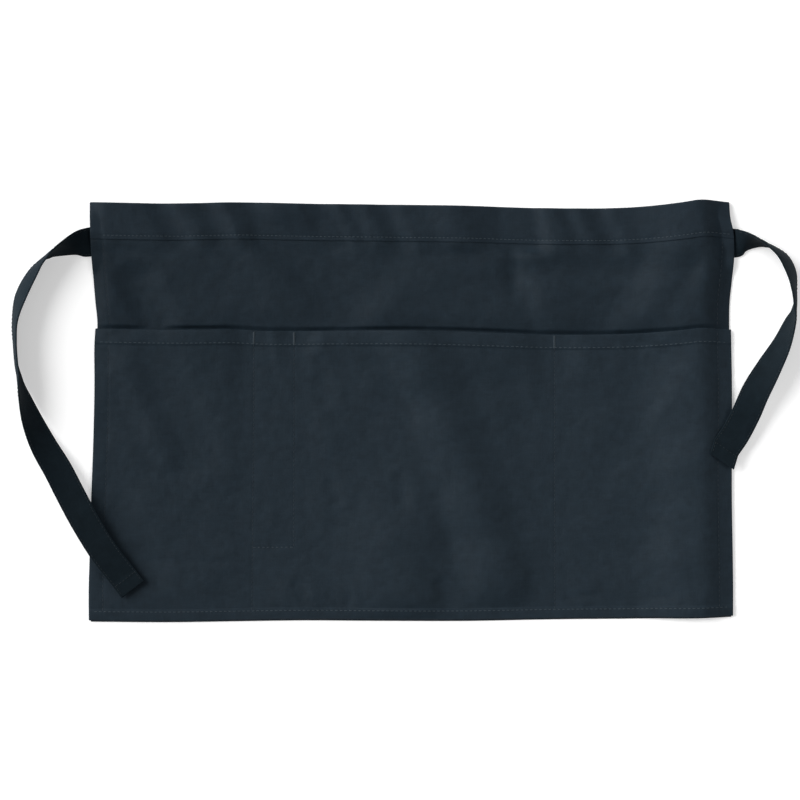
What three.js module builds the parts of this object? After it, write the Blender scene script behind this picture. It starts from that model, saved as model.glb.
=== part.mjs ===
// Waist apron lying on its back: a body panel, a waistband folded over its top edge, a pocket
// front stitched down into four pockets, and two tapes that curl round onto the pocket front.
// Millimetres. +X runs along the waist to the right, +Y towards the waist, +Z up from the floor.
// The origin is on the floor under the middle of the body.
import * as THREE from 'three';

const { clamp, degToRad, lerp } = THREE.MathUtils;

// Body and its parts, along the waist and down from it
const apronWidth = 610;
const apronHeight = 398;
const bandDepth = 35;
const pocketDepth = 277;
const leftPocketWidth = 154;
const penPocketWidth = 39.5;
const penPocketDepth = 207;
const rightPocketWidth = 168;

// Hems and edges
const bottomHem = 10.5;
const sideHem = 12.5;
const mouthHem = 13.5;
const hemStep = 1.5;
const hemReveal = 2.8;
const pocketOverhang = 1.6;

// Cloth and tape
const cloth = 1;
const hemFold = 0.6;
const seamGap = 0.3;
const tapeWidth = 27.5;
const tapeThickness = 1.6;
const tapeHem = 14;
const tapeHemFold = 0.5;

// How far the cloth stands off what it lies on
const yokeLoft = 4.6;
const pocketLoft = 5.6;

// How far in from an edge or seam the cloth takes to reach that height. Above the pockets it
// lies flat for mouthClear first.
const leftRun = 17;
const rightRun = 25;
const hemRun = 26;
const seamRun = 14;
const mouthClear = 6;
const mouthRun = 24;
const bandRun = 14;
const tieRun = 18;
const mouthDraw = 60;
const softening = 0.4;

// Ties: how far the arcs reach past the sides, and how far the sewn ends reach in
const leftTieReach = 74;
const rightTieReach = 64;
const tieSewnLength = 42;
const tieSlack = 1.4;
const tieMargin = 5;
const tieRestGap = 0.4;
const leftHemTurn = 0;
const rightHemTurn = 17;

// Mesh fineness, the widest step across and up the body, and the steps in a tape
const stepAcross = 16;
const stepUp = 22;
const tapeStepsPerRow = 2;
const tapeStepsAcross = 4;
const foldSteps = 4;
const corrections = 4;

// Heights above the bottom edge
const mouthUp = pocketDepth;
const bandUp = apronHeight - bandDepth;
const bandThickness = 3 * cloth + 2 * seamGap;
const foldUp = apronHeight - bandThickness / 2;
const panelTopUp = foldUp - 2 * seamGap;
const panelLift = cloth + seamGap;
const tieSewnUp = bandUp + tapeWidth / 2;

// Places across, from the left edge
const firstSeam = leftPocketWidth;
const secondSeam = firstSeam + penPocketWidth;
const thirdSeam = apronWidth - rightPocketWidth;
const penFootUp = mouthUp - penPocketDepth;

const colours = { panel: '#242b34', band: '#2b333c', pocket: '#28303a', tie: '#222932' };

// Side edges from the bottom up: how far each lies inside the full width, as shares of it
const sideEdges = [
  { up: 0.0, left: 0.0010, right: 0.0003 },
  { up: 0.07, left: 0.0007, right: 0.0002 },
  { up: 0.15, left: 0.0021, right: 0.0008 },
  { up: 0.29, left: 0.0046, right: 0.0022 },
  { up: 0.43, left: 0.0079, right: 0.0021 },
  { up: 0.57, left: 0.0098, right: 0.0021 },
  { up: 0.66, left: 0.0097, right: 0.0031 },
  { up: 0.71, left: 0.0115, right: 0.0036 },
  { up: 0.76, left: 0.0085, right: 0.0030 },
  { up: 0.81, left: 0.0058, right: -0.0005 },
  { up: 0.87, left: 0.0025, right: -0.0039 },
  { up: 0.93, left: 0.0008, right: -0.0023 },
  { up: 0.96, left: 0.0002, right: 0.0020 },
  { up: 1.0, left: 0.0, right: 0.0038 },
];

// Top and bottom edges from left to right: how far each lies above its straight line, as
// shares of the height
const endEdges = [
  { across: 0.0, top: 0.0, bottom: -0.0021 },
  { across: 0.13, top: -0.0033, bottom: -0.0033 },
  { across: 0.23, top: -0.0005, bottom: -0.0010 },
  { across: 0.33, top: -0.0036, bottom: 0.0010 },
  { across: 0.45, top: -0.0060, bottom: 0.0 },
  { across: 0.60, top: -0.0095, bottom: 0.0 },
  { across: 0.70, top: -0.0143, bottom: 0.0030 },
  { across: 0.78, top: -0.0153, bottom: 0.0045 },
  { across: 0.83, top: -0.0141, bottom: 0.0050 },
  { across: 0.88, top: -0.0090, bottom: 0.0060 },
  { across: 0.93, top: 0.0, bottom: 0.0060 },
  { across: 0.95, top: 0.0048, bottom: 0.0065 },
  { across: 1.0, top: 0.0, bottom: 0.0095 },
];

// The pockets' mouth from left to right: how far it lies above its straight line, as a share of
// the height. The nearest cloth is drawn along with it.
const mouthEdge = [
  { across: 0.0, above: 0.003 },
  { across: 0.14, above: 0.0045 },
  { across: 0.225, above: 0.0045 },
  { across: 0.262, above: -0.004 },
  { across: 0.315, above: -0.004 },
  { across: 0.38, above: 0.002 },
  { across: 0.50, above: 0.002 },
  { across: 0.72, above: -0.003 },
  { across: 1.0, above: -0.003 },
];

// Folds: a crest or, with a negative height, a furrow along a straight line. Places are shares
// of the width and height, spread is a share of the width, height is a share of the loft.
const yokeFolds = [
  { fromAcross: 0.045, fromUp: 0.84, toAcross: 0.087, toUp: 0.71, spread: 0.026, height: -0.50 },
  { fromAcross: 0.268, fromUp: 0.89, toAcross: 0.359, toUp: 0.72, spread: 0.038, height: -0.45 },
  { fromAcross: 0.647, fromUp: 0.89, toAcross: 0.652, toUp: 0.79, spread: 0.020, height: -0.30 },
  { fromAcross: 0.730, fromUp: 0.85, toAcross: 0.745, toUp: 0.73, spread: 0.040, height: 0.25 },
  { fromAcross: 0.907, fromUp: 0.88, toAcross: 0.857, toUp: 0.72, spread: 0.042, height: 0.45 },
  { fromAcross: 0.690, fromUp: 0.88, toAcross: 0.930, toUp: 0.895, spread: 0.018, height: -0.35 },
];
const bandPuckers = [
  { fromAcross: 0.117, fromUp: 0.99, toAcross: 0.137, toUp: 0.95, spread: 0.018, height: -0.25 },
  { fromAcross: 0.250, fromUp: 0.99, toAcross: 0.277, toUp: 0.92, spread: 0.020, height: -0.30 },
  { fromAcross: 0.352, fromUp: 0.99, toAcross: 0.377, toUp: 0.93, spread: 0.018, height: -0.30 },
  { fromAcross: 0.456, fromUp: 0.99, toAcross: 0.474, toUp: 0.95, spread: 0.018, height: -0.25 },
  { fromAcross: 0.574, fromUp: 0.99, toAcross: 0.592, toUp: 0.92, spread: 0.022, height: -0.40 },
  { fromAcross: 0.639, fromUp: 0.99, toAcross: 0.658, toUp: 0.92, spread: 0.022, height: -0.55 },
  { fromAcross: 0.790, fromUp: 0.98, toAcross: 0.800, toUp: 0.94, spread: 0.018, height: -0.25 },
];
const pocketFolds = [
  { fromAcross: 0.533, fromUp: 0.68, toAcross: 0.655, toUp: 0.05, spread: 0.078, height: 0.50 },
  { fromAcross: 0.625, fromUp: 0.56, toAcross: 0.700, toUp: 0.20, spread: 0.040, height: -0.16 },
  { fromAcross: 0.047, fromUp: 0.59, toAcross: 0.117, toUp: 0.41, spread: 0.036, height: 0.14 },
  { fromAcross: 0.475, fromUp: 0.24, toAcross: 0.483, toUp: 0.06, spread: 0.055, height: 0.28 },
  { fromAcross: 0.950, fromUp: 0.62, toAcross: 0.950, toUp: 0.24, spread: 0.045, height: 0.22 },
  { fromAcross: 0.880, fromUp: 0.60, toAcross: 0.800, toUp: 0.40, spread: 0.032, height: -0.10 },
];

// Seams that close the pockets, in millimetres from the left edge and the bottom edge
const pocketSeams = [
  { from: [firstSeam, 0], to: [firstSeam, mouthUp] },
  { from: [secondSeam, penFootUp], to: [secondSeam, mouthUp] },
  { from: [thirdSeam, 0], to: [thirdSeam, mouthUp] },
  { from: [firstSeam, penFootUp], to: [secondSeam, penFootUp] },
];

// Routes of the two tapes from the body's side to the hem of the free end. out is how far past
// the side, as a share of the tie's reach; up is a share of the height. roll lifts the outer
// edge, in degrees; curl bends the section, in degrees each way; lift is how high the tape
// hangs, as a share of the height of the pocket front.
const leftRoute = [
  { out: -0.180, up: 0.914, roll: 0, curl: 0, lift: 0 },
  { out: -0.026, up: 0.906, roll: 1, curl: 0, lift: 0 },
  { out: 0.077, up: 0.902, roll: 15, curl: 2, lift: 0 },
  { out: 0.206, up: 0.896, roll: 47, curl: 10, lift: 0 },
  { out: 0.398, up: 0.881, roll: 73, curl: 20, lift: 0 },
  { out: 0.532, up: 0.869, roll: 90, curl: 25, lift: 0 },
  { out: 0.706, up: 0.833, roll: 112, curl: 14, lift: 0 },
  { out: 0.870, up: 0.776, roll: 117, curl: 8, lift: 0 },
  { out: 0.946, up: 0.718, roll: 105, curl: 8, lift: 0 },
  { out: 0.948, up: 0.665, roll: 100, curl: 10, lift: 0 },
  { out: 0.903, up: 0.589, roll: 91, curl: 24, lift: 0 },
  { out: 0.819, up: 0.532, roll: 69, curl: 16, lift: 0.03 },
  { out: 0.720, up: 0.475, roll: 47, curl: 8, lift: 0.15 },
  { out: 0.581, up: 0.418, roll: 28, curl: 3, lift: 0.5 },
  { out: 0.398, up: 0.360, roll: 14, curl: 0, lift: 1.0 },
  { out: 0.240, up: 0.303, roll: 5, curl: 0, lift: 1.3 },
  { out: 0.055, up: 0.239, roll: 2, curl: 0, lift: 1.4 },
  { out: -0.190, up: 0.165, roll: 0, curl: 0, lift: 1.2 },
  { out: -0.445, up: 0.103, roll: 0, curl: 0, lift: 0.8 },
];
const rightRoute = [
  { out: -0.200, up: 0.914, roll: 0, curl: 0, lift: 0 },
  { out: -0.020, up: 0.903, roll: 1, curl: 0, lift: 0 },
  { out: 0.090, up: 0.902, roll: 15, curl: 2, lift: 0 },
  { out: 0.200, up: 0.904, roll: 48, curl: 10, lift: 0 },
  { out: 0.334, up: 0.902, roll: 69, curl: 20, lift: 0 },
  { out: 0.513, up: 0.896, roll: 90, curl: 25, lift: 0 },
  { out: 0.739, up: 0.870, roll: 110, curl: 14, lift: 0 },
  { out: 0.857, up: 0.838, roll: 114, curl: 8, lift: 0 },
  { out: 0.905, up: 0.804, roll: 107, curl: 8, lift: 0 },
  { out: 0.918, up: 0.746, roll: 91, curl: 24, lift: 0 },
  { out: 0.862, up: 0.718, roll: 73, curl: 18, lift: 0.02 },
  { out: 0.730, up: 0.661, roll: 54, curl: 8, lift: 0.15 },
  { out: 0.539, up: 0.604, roll: 34, curl: 3, lift: 0.55 },
  { out: 0.345, up: 0.547, roll: 14, curl: 0, lift: 1.05 },
  { out: 0.208, up: 0.496, roll: 3, curl: 0, lift: 1.15 },
  { out: 0.055, up: 0.448, roll: 0, curl: 0, lift: 1.0 },
  { out: -0.088, up: 0.414, roll: 0, curl: 0, lift: 0.8 },
];

const up = new THREE.Vector3(0, 0, 1);

const ramp = (t) => {
  const part = clamp(t, 0, 1);
  return part * part * (3 - 2 * part);
};

const bump = (t) => {
  const part = Math.min(Math.abs(t), 1);
  return (1 - part * part) ** 2;
};

const roll = (t) => Math.sin((Math.PI / 2) * clamp(t, 0, 1));

// Nothing below zero, and above it the value itself, eased in over the first softening
const raised = (value) => (value > 0 ? (value * value) / (value + softening) : 0);

// Reads one column of a table at a place along it, in straight lines between its rows
function along(table, key, place, column) {
  const after = table.findIndex((row) => row[key] >= place);
  if (after < 0) return table[table.length - 1][column];
  if (after === 0) return table[0][column];
  const low = table[after - 1];
  const high = table[after];
  return lerp(low[column], high[column], (place - low[key]) / (high[key] - low[key]));
}

function distanceToLine(x, y, from, to) {
  const [dx, dy] = [to[0] - from[0], to[1] - from[1]];
  const share = clamp(((x - from[0]) * dx + (y - from[1]) * dy) / (dx * dx + dy * dy), 0, 1);
  return Math.hypot(x - from[0] - share * dx, y - from[1] - share * dy);
}

// Sum of the folds of a table at a place on the body, as a share of the loft
function foldsAt(table, x, y) {
  return table.reduce((sum, fold) => {
    const from = [fold.fromAcross * apronWidth, fold.fromUp * apronHeight];
    const to = [fold.toAcross * apronWidth, fold.toUp * apronHeight];
    return sum + fold.height * bump(distanceToLine(x, y, from, to) / (fold.spread * apronWidth));
  }, 0);
}

// The cloth is laid out on a plain rectangle, x from its left edge and y from its bottom edge.
// onTable moves a place on it to where it lies, with the edges bowed as the tables say.
function onTable(x, y) {
  const [across, above] = [x / apronWidth, y / apronHeight];
  const left = along(sideEdges, 'up', above, 'left');
  const right = -along(sideEdges, 'up', above, 'right');
  const top = along(endEdges, 'across', across, 'top');
  const bottom = along(endEdges, 'across', across, 'bottom');
  const drawn = along(mouthEdge, 'across', across, 'above') * bump((y - mouthUp) / mouthDraw);
  return [
    (across - 0.5 + lerp(left, right, across)) * apronWidth,
    (above - 0.5 + lerp(bottom, top, above) + drawn) * apronHeight,
  ];
}

// The place on the rectangle that lies at a point of the table, found in a few corrections
function onRectangle(tableX, tableY) {
  let [x, y] = [tableX + apronWidth / 2, tableY + apronHeight / 2];
  for (let pass = 0; pass < corrections; pass += 1) {
    const [nowX, nowY] = onTable(x, y);
    x += tableX - nowX;
    y += tableY - nowY;
  }
  return [x, y];
}

const sideRoll = (x) => roll(x / leftRun) * roll((apronWidth - x) / rightRun);

const hemRoll = (y) => roll(y / hemRun);

const seamShare = (x, y) =>
  Math.max(...pocketSeams.map((seam) => bump(distanceToLine(x, y, seam.from, seam.to) / seamRun)));

// Doubled cloth: whole on the hem and none past its step
const hemShare = (inside, depth) => 1 - ramp((inside - depth) / hemStep);

// The sewn end of each tape lies under the waistband. The cloth over it is lifted by its
// thickness, and a little more at the side, where the tape starts to turn.
function liftOverTapes(x, y) {
  const fromSides = [
    [x, leftRoute[1].up],
    [apronWidth - x, rightRoute[1].up],
  ];
  return Math.max(
    ...fromSides.map(([inside, leavesUp]) => {
      const line = [[0, leavesUp * apronHeight], [tieSewnLength, tieSewnUp]];
      const past = distanceToLine(inside, y, ...line) - tapeWidth / 2 - tieMargin;
      const slack = tieSlack * (1 - ramp(inside / tieSewnLength));
      return (tapeThickness + seamGap + slack) * (1 - ramp(past / tieRun));
    }),
  );
}

// Underside of the body panel
function panelRise(x, y) {
  const fromMouth = ramp((y - mouthUp - mouthClear) / mouthRun);
  const underBand = ramp((y - bandUp) / bandDepth);
  const folds = foldsAt(yokeFolds, x, y) * fromMouth * (1 - underBand);
  const puckers = foldsAt(bandPuckers, x, y);
  const yoke = yokeLoft * sideRoll(x) * (fromMouth * (1 - underBand) + folds + puckers);
  const inBand = panelLift * ramp((y - bandUp + bandRun) / bandRun);
  return Math.max(raised(yoke), liftOverTapes(x, y)) + inBand;
}

function panelThickness(x, y) {
  const side = Math.max(hemShare(x, sideHem), hemShare(apronWidth - x, sideHem));
  return cloth + hemFold * Math.max(side * hemShare(y, bandUp - hemStep), hemShare(y, bottomHem));
}

// Underside of the pocket front
function pocketRise(x, y) {
  const open = 1 - seamShare(x, y);
  const stand = pocketLoft * (open + open * open * foldsAt(pocketFolds, x, y));
  return panelRise(x, y) + panelThickness(x, y) + seamGap + stand * sideRoll(x) * hemRoll(y - hemReveal);
}

function pocketThickness(x, y) {
  return cloth + hemFold * Math.max(hemShare(mouthUp - y, mouthHem), hemShare(y, bottomHem));
}

// Height of the pocket front at a point of the table, or the floor off its sides
function frontTop(tableX, tableY) {
  const [x, y] = onRectangle(tableX, tableY);
  if (x < -pocketOverhang || x > apronWidth + pocketOverhang) return 0;
  const onCloth = clamp(x, 0, apronWidth);
  return pocketRise(onCloth, y) + pocketThickness(onCloth, y);
}

// Places from the first mark to the last, with every mark kept and no step over the widest
function steps(marks, widest) {
  const places = [marks[0]];
  for (let index = 1; index < marks.length; index += 1) {
    const [from, to] = [marks[index - 1], marks[index]];
    const count = Math.ceil((to - from) / widest);
    for (let step = 1; step <= count; step += 1) places.push(lerp(from, to, step / count));
  }
  return places;
}

// One closed sheet between two grids of points, joined round its rim. From the turned row on,
// where a ply runs back under the first one, its facets are split along the other diagonal, so
// that plies over each other have the same creases.
function sheet(front, back, turnedRow = Infinity) {
  const columns = front.length;
  const rows = front[0].length;
  const positions = [...front.flat(), ...back.flat()].flatMap((point) => point.toArray());
  const first = (column, row) => column * rows + row;
  const second = (column, row) => columns * rows + first(column, row);
  const index = [];
  const quad = (a, b, c, d) => index.push(a, b, c, a, c, d);
  for (let i = 0; i + 1 < columns; i += 1) {
    for (let j = 0; j + 1 < rows; j += 1) {
      const over = [first(i, j), first(i + 1, j), first(i + 1, j + 1), first(i, j + 1)];
      const under = [second(i, j), second(i, j + 1), second(i + 1, j + 1), second(i + 1, j)];
      if (j >= turnedRow) {
        over.push(over.shift());
        under.push(under.shift());
      }
      quad(...over);
      quad(...under);
    }
    quad(second(i, 0), second(i + 1, 0), first(i + 1, 0), first(i, 0));
    quad(first(i, rows - 1), first(i + 1, rows - 1), second(i + 1, rows - 1), second(i, rows - 1));
  }
  for (let j = 0; j + 1 < rows; j += 1) {
    quad(first(0, j), first(0, j + 1), second(0, j + 1), second(0, j));
    const last = columns - 1;
    quad(second(last, j), second(last, j + 1), first(last, j + 1), first(last, j));
  }
  const geometry = new THREE.BufferGeometry();
  geometry.setAttribute('position', new THREE.Float32BufferAttribute(positions, 3));
  geometry.setIndex(index);
  geometry.computeVertexNormals();
  return geometry;
}

// Body panel, from the bottom edge to just short of the fold of the waistband
function bodyPanelGeometry(columns, pocketRows) {
  const yokeUp = mouthUp + mouthClear;
  const yokeMarks = [mouthUp, yokeUp, yokeUp + mouthRun, bandUp - bandRun, bandUp, panelTopUp];
  const rows = [0, ...pocketRows, ...steps(yokeMarks, stepUp).slice(1)];
  const grid = (thickness) =>
    columns.map((x) =>
      rows.map((y) => {
        const height = panelRise(x, y) + thickness * panelThickness(x, y);
        return new THREE.Vector3(...onTable(x, y), height);
      }),
    );
  return sheet(grid(1), grid(0));
}

// Pocket front, from just above the panel's bottom edge to the mouth, a little wider than the panel
function pocketPanelGeometry(columns, rows) {
  const last = columns.length - 1;
  const overhang = (index) => pocketOverhang * ((index === last) - (index === 0));
  const grid = (thickness) =>
    columns.map((x, index) =>
      rows.map((y) => {
        const [tableX, tableY] = onTable(x, y);
        const height = pocketRise(x, y) + thickness * pocketThickness(x, y);
        return new THREE.Vector3(tableX + overhang(index), tableY, height);
      }),
    );
  return sheet(grid(1), grid(0));
}

// Waistband: up the front ply, round the fold and down the back ply
function waistbandGeometry(columns) {
  const rows = steps([bandUp, panelTopUp, foldUp], stepUp);
  const middle = bandThickness / 2;
  const plies = (radius) => (x) => {
    const ply = (y, side) => {
      const height = panelRise(x, Math.min(y, panelTopUp)) - panelLift + middle + side * radius;
      return new THREE.Vector3(...onTable(x, y), height);
    };
    const frontPly = rows.map((y) => ply(y, 1));
    const backPly = rows.map((y) => ply(y, -1)).reverse();
    const fold = [];
    for (let step = 1; step < foldSteps; step += 1) {
      const angle = (Math.PI * step) / foldSteps;
      const base = panelRise(x, panelTopUp) - panelLift + middle;
      const [tableX, tableY] = onTable(x, foldUp);
      const [out, high] = [radius * Math.sin(angle), radius * Math.cos(angle)];
      fold.push(new THREE.Vector3(tableX, tableY + out, base + high));
    }
    return [...frontPly, ...fold, ...backPly];
  };
  const turnedRow = rows.length - 1 + foldSteps;
  return sheet(columns.map(plies(middle)), columns.map(plies(middle - cloth)), turnedRow);
}

// Places along a tape, from its sewn end to its free one, with its heading and attitude there
function tieStations(route, side, reach, hemTurn) {
  const sewn = { out: -tieSewnLength / reach, up: tieSewnUp / apronHeight, roll: 0, curl: 0, lift: 0 };
  const rows = [sewn, ...route];
  const places = rows.map(
    (row) => new THREE.Vector3(side * (apronWidth / 2 + row.out * reach), (row.up - 0.5) * apronHeight, 0),
  );
  const attitudes = rows.map((row) => new THREE.Vector3(row.roll, row.curl, row.lift));
  const path = new THREE.CatmullRomCurve3(places, false, 'catmullrom', 0.5);
  const attitude = new THREE.CatmullRomCurve3(attitudes, false, 'catmullrom', 0.5);
  const count = route.length * tapeStepsPerRow;
  const stations = [];
  for (let step = 0; step <= count; step += 1) {
    const [centre, heading] = [path.getPoint(step / count), path.getTangent(step / count)];
    const { x: rolled, y: curled, z: lifted } = attitude.getPoint(step / count);
    stations.push({ centre, heading, rolled, curled, lifted, thickness: tapeThickness });
  }
  const last = stations[count];
  const hemHeading = last.heading.clone().applyAxisAngle(up, side * degToRad(hemTurn));
  for (const length of [hemStep, tapeHem]) {
    const centre = last.centre.clone().addScaledVector(hemHeading, length);
    stations.push({ ...last, centre, thickness: tapeThickness + tapeHemFold });
  }
  return stations.map((station, index) => ({ ...station, free: index > count / 2 }));
}

// The two faces of a tape at one station. side is -1 for the left tie and 1 for the right one.
function tieSection(station, side) {
  const turn = degToRad(Math.max(station.rolled, 0));
  const bend = degToRad(Math.max(station.curled, 1));
  const radius = tapeWidth / 2 / bend;
  const across = new THREE.Vector2(Math.cos(turn), Math.sin(turn));
  const bulge = new THREE.Vector2(Math.sin(turn), -Math.cos(turn));
  const middle = [];
  const face = [];
  for (let step = 0; step <= tapeStepsAcross; step += 1) {
    const angle = bend * ((2 * step) / tapeStepsAcross - 1);
    const outward = across.clone().multiplyScalar(Math.sin(angle)).addScaledVector(bulge, Math.cos(angle));
    face.push(outward);
    middle.push(outward.clone().multiplyScalar(radius));
  }
  const outs = middle.map((point) => point.x);
  const shift = (Math.max(...outs) + Math.min(...outs)) / 2;
  const points = [-1, 1].map((sign) =>
    middle.map((point, index) => point.clone().addScaledVector(face[index], (sign * station.thickness) / 2)),
  );
  const lowest = Math.min(...points.flat().map((point) => point.y));
  const place = (point, base) => {
    const out = point.x - shift;
    const x = station.centre.x - side * station.heading.y * out;
    const y = station.centre.y + side * station.heading.x * out;
    return new THREE.Vector3(x, y, base + point.y - lowest);
  };
  const hung = Math.max(station.lifted, 0) * (2 * cloth + seamGap + pocketLoft);
  const under = points[1].map((point) => place(point, 0));
  const rest = station.free ? Math.max(...under.map(({ x, y }) => frontTop(x, y))) + tieRestGap : 0;
  const base = Math.max(hung, rest > tieRestGap ? rest : 0);
  return points.map((line) => line.map((point) => place(point, base)));
}

function tieGeometry(route, side, reach, hemTurn) {
  const sections = tieStations(route, side, reach, hemTurn).map((station) => tieSection(station, side));
  const inner = sections.map((section) => section[0]);
  const outer = sections.map((section) => section[1]);
  return side < 0 ? sheet(outer, inner) : sheet(inner, outer);
}

const columns = steps(
  [
    ...[0, sideHem, sideHem + hemStep, firstSeam - seamRun, firstSeam, (firstSeam + secondSeam) / 2],
    ...[secondSeam, secondSeam + seamRun, thirdSeam - seamRun, thirdSeam, thirdSeam + seamRun],
    ...[apronWidth - sideHem - hemStep, apronWidth - sideHem, apronWidth],
  ],
  stepAcross,
);
const pocketRows = steps(
  [
    ...[hemReveal, bottomHem, bottomHem + hemStep, penFootUp],
    ...[mouthUp - mouthHem - hemStep, mouthUp - mouthHem, mouthUp],
  ],
  stepUp,
);

const apron = new THREE.Group();
const add = (name, geometry, colour) => {
  const material = new THREE.MeshStandardMaterial({ color: colour, roughness: 0.9, metalness: 0 });
  const mesh = new THREE.Mesh(geometry, material);
  mesh.name = name;
  apron.add(mesh);
};
add('body_panel', bodyPanelGeometry(columns, pocketRows), colours.panel);
add('pocket_panel', pocketPanelGeometry(columns, pocketRows), colours.pocket);
add('waistband', waistbandGeometry(columns), colours.band);
add('tie_left', tieGeometry(leftRoute, -1, leftTieReach, leftHemTurn), colours.tie);
add('tie_right', tieGeometry(rightRoute, 1, rightTieReach, rightHemTurn), colours.tie);

export default apron;
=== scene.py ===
"""Waist apron lying on its back, seen from straight above.

Every sheet of cloth is worked out with numpy over one flat rectangle of cloth, x from its left
edge and y from its bottom edge: a function says how high the sheet lies at each place, and
another where that place ends up on the table. Metres. +X runs along the waist to the right, +Y
towards the waistband, +Z up from the floor. The origin is on the floor under the body.
"""

from collections import namedtuple
from math import pi, radians

import bpy
import numpy as np
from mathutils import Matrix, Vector


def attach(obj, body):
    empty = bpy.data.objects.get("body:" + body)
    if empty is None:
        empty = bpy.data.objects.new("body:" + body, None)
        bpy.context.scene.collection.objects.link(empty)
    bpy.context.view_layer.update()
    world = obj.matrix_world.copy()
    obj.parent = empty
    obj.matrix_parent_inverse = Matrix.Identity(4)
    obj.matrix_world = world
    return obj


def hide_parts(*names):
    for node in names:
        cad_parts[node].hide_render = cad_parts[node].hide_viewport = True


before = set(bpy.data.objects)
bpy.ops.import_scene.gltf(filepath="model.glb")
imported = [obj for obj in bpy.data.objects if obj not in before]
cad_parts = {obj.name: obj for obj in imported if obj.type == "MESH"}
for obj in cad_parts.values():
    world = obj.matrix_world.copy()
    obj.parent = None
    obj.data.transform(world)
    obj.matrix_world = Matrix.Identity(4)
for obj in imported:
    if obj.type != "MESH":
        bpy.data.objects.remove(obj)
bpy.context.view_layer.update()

bl_info = {
    "name": "Waist apron",
    "version": (1, 0, 0),
    "blender": (4, 5, 0),
    "location": "3D View > Sidebar > Apron",
    "description": "Sews a waist apron with four pockets and two tapes, lying flat",
    "category": "Add Mesh",
}

# Body and its parts, along the waist and down from it
APRON_WIDTH = 0.610
APRON_HEIGHT = 0.398
BAND_DEPTH = 0.035
POCKET_DEPTH = 0.277
LEFT_POCKET_WIDTH = 0.154
PEN_POCKET_WIDTH = 0.0395
PEN_POCKET_DEPTH = 0.207
RIGHT_POCKET_WIDTH = 0.168

# Hems and edges
BOTTOM_HEM = 0.0105
SIDE_HEM = 0.0125
MOUTH_HEM = 0.0135
BAND_TURN = 0.0085
BAND_PRESS = 0.0004
HEM_STEP = 0.0015
HEM_REVEAL = 0.0012
POCKET_OVERHANG = 0.0016
EDGE_ROUND = 0.0009

# Cloth and tape
CLOTH = 0.001
HEM_FOLD = 0.0006
SIDE_STEP = 0.010
SEAM_GAP = 0.0003
TAPE_WIDTH = 0.0275
TAPE_THICKNESS = 0.0016
TAPE_HEM = 0.014
TAPE_HEM_FOLD = 0.0005

# How far the cloth stands off what it lies on
YOKE_LOFT = 0.0046
POCKET_LOFT = 0.0056
SOFTENING = 0.0004

# How far in from an edge or seam the cloth takes to reach that height
LEFT_RUN = 0.017
RIGHT_RUN = 0.030
HEM_RUN = 0.026
SEAM_RUN = 0.030
BAND_RUN = 0.014
TIE_RUN = 0.018

# At the pockets' mouth: the panel has a share of its height at the mouth and the whole of it
# over a run above, less a dip right above the mouth where the front gapes; the front starts to
# gape some way below its mouth
MOUTH_SHARE = 0.6
MOUTH_RUN = 0.060
MOUTH_DIP = 0.95
MOUTH_DIP_RUN = 0.0045
MOUTH_GAPE_RUN = 0.070

# How far from a bowed side or from the bowed mouth the cloth is drawn along with it
EDGE_DRAW = 0.240
MOUTH_DRAW = 0.060

# Ties: how far the arcs reach past the sides, and how far the sewn ends reach in
LEFT_TIE_REACH = 0.074
RIGHT_TIE_REACH = 0.064
TIE_SEWN_LENGTH = 0.042
TIE_SLACK = 0.0014
TIE_MARGIN = 0.005
TIE_REST_GAP = 0.0003
LEFT_HEM_TURN = radians(0)
RIGHT_HEM_TURN = radians(17)

# Rows of stitches: how far each lies inside the edge of the fold that it holds down, and how
# deep and how far to each side the thread pulls the cloth in
STITCH_INSET = 0.0008
BAND_STITCH_UP = 0.0038
TAPE_STITCH_IN = 0.0022
STITCH_DIP = 0.00013
STITCH_DIP_RUN = 0.0016
BARTACK_WIDTH = 0.0022
BARTACK_PITCH = 0.0008

# Slanting waves beside a row: their height, how far they reach, the length of one, how far it
# slants, the part of the height that stays the same along the row and the part that swells and
# fades, how many times it swells over one wave, and the phase in which it starts
ROPING = 0.00016
ROPING_RUN = 0.009
ROPING_WAVE = 0.0105
ROPING_SLANT = 0.6
ROPING_EVEN = 0.6
ROPING_SWELL = 0.4
SWELL_TO_WAVE = 0.237
SWELL_START = 1

# Mesh fineness: the widest steps of the grids, and the places of their lines close to a row of
# stitches, a rim or the mouth, as shares of STITCH_DIP_RUN, EDGE_ROUND and MOUTH_DIP_RUN
STEP_ACROSS = 0.0032
STEP_UP = 0.0030
HIDDEN_STEP_UP = 0.0060
TAPE_STEP_ALONG = STEP_ACROSS * 0.7
TAPE_STEP_ACROSS = STEP_ACROSS * 0.6
FOLD_STEPS = 10
ROW_LINES = -2, -1, -0.5, 0, 0.5, 1, 2
RIM_LINES = 0, 0.04, 0.16, 0.4, 0.7, 1
DIP_LINES = -0.2, 0, 0.2, 0.4, 0.6, 0.8, 1, 1.3
GRID_DIGITS = 6
TINY = 1e-6
CORRECTIONS = 4

# A stitch: five places along it from end to end, how wide its thread is at each as a share of
# its width, and how far the thread's middle lies over the cloth as a share of its radius
THREAD_SIDES = 6
THREAD_PLACES = np.array([-1, -0.7, 0, 0.7, 1])
THREAD_WIDTHS = np.array([0.35, 0.9, 1, 0.9, 0.35])
THREAD_RISE = np.array([-0.9, 0.45, 0.9, 0.45, -0.9])
STRAIGHT_UP = (0.0, 0.0, 1.0)

# Darker and lighter tones of a colour, the shares of weave and mottle in the cloth's tone, the
# share of the yarns' thickness in its relief, and how much lighter the tapes' reverse is painted:
# partly the cloth's lighter back, partly painted light on the tapes' arcs, where the reverse faces up
CLOTH_TONES = 0.66, 1.34
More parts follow.
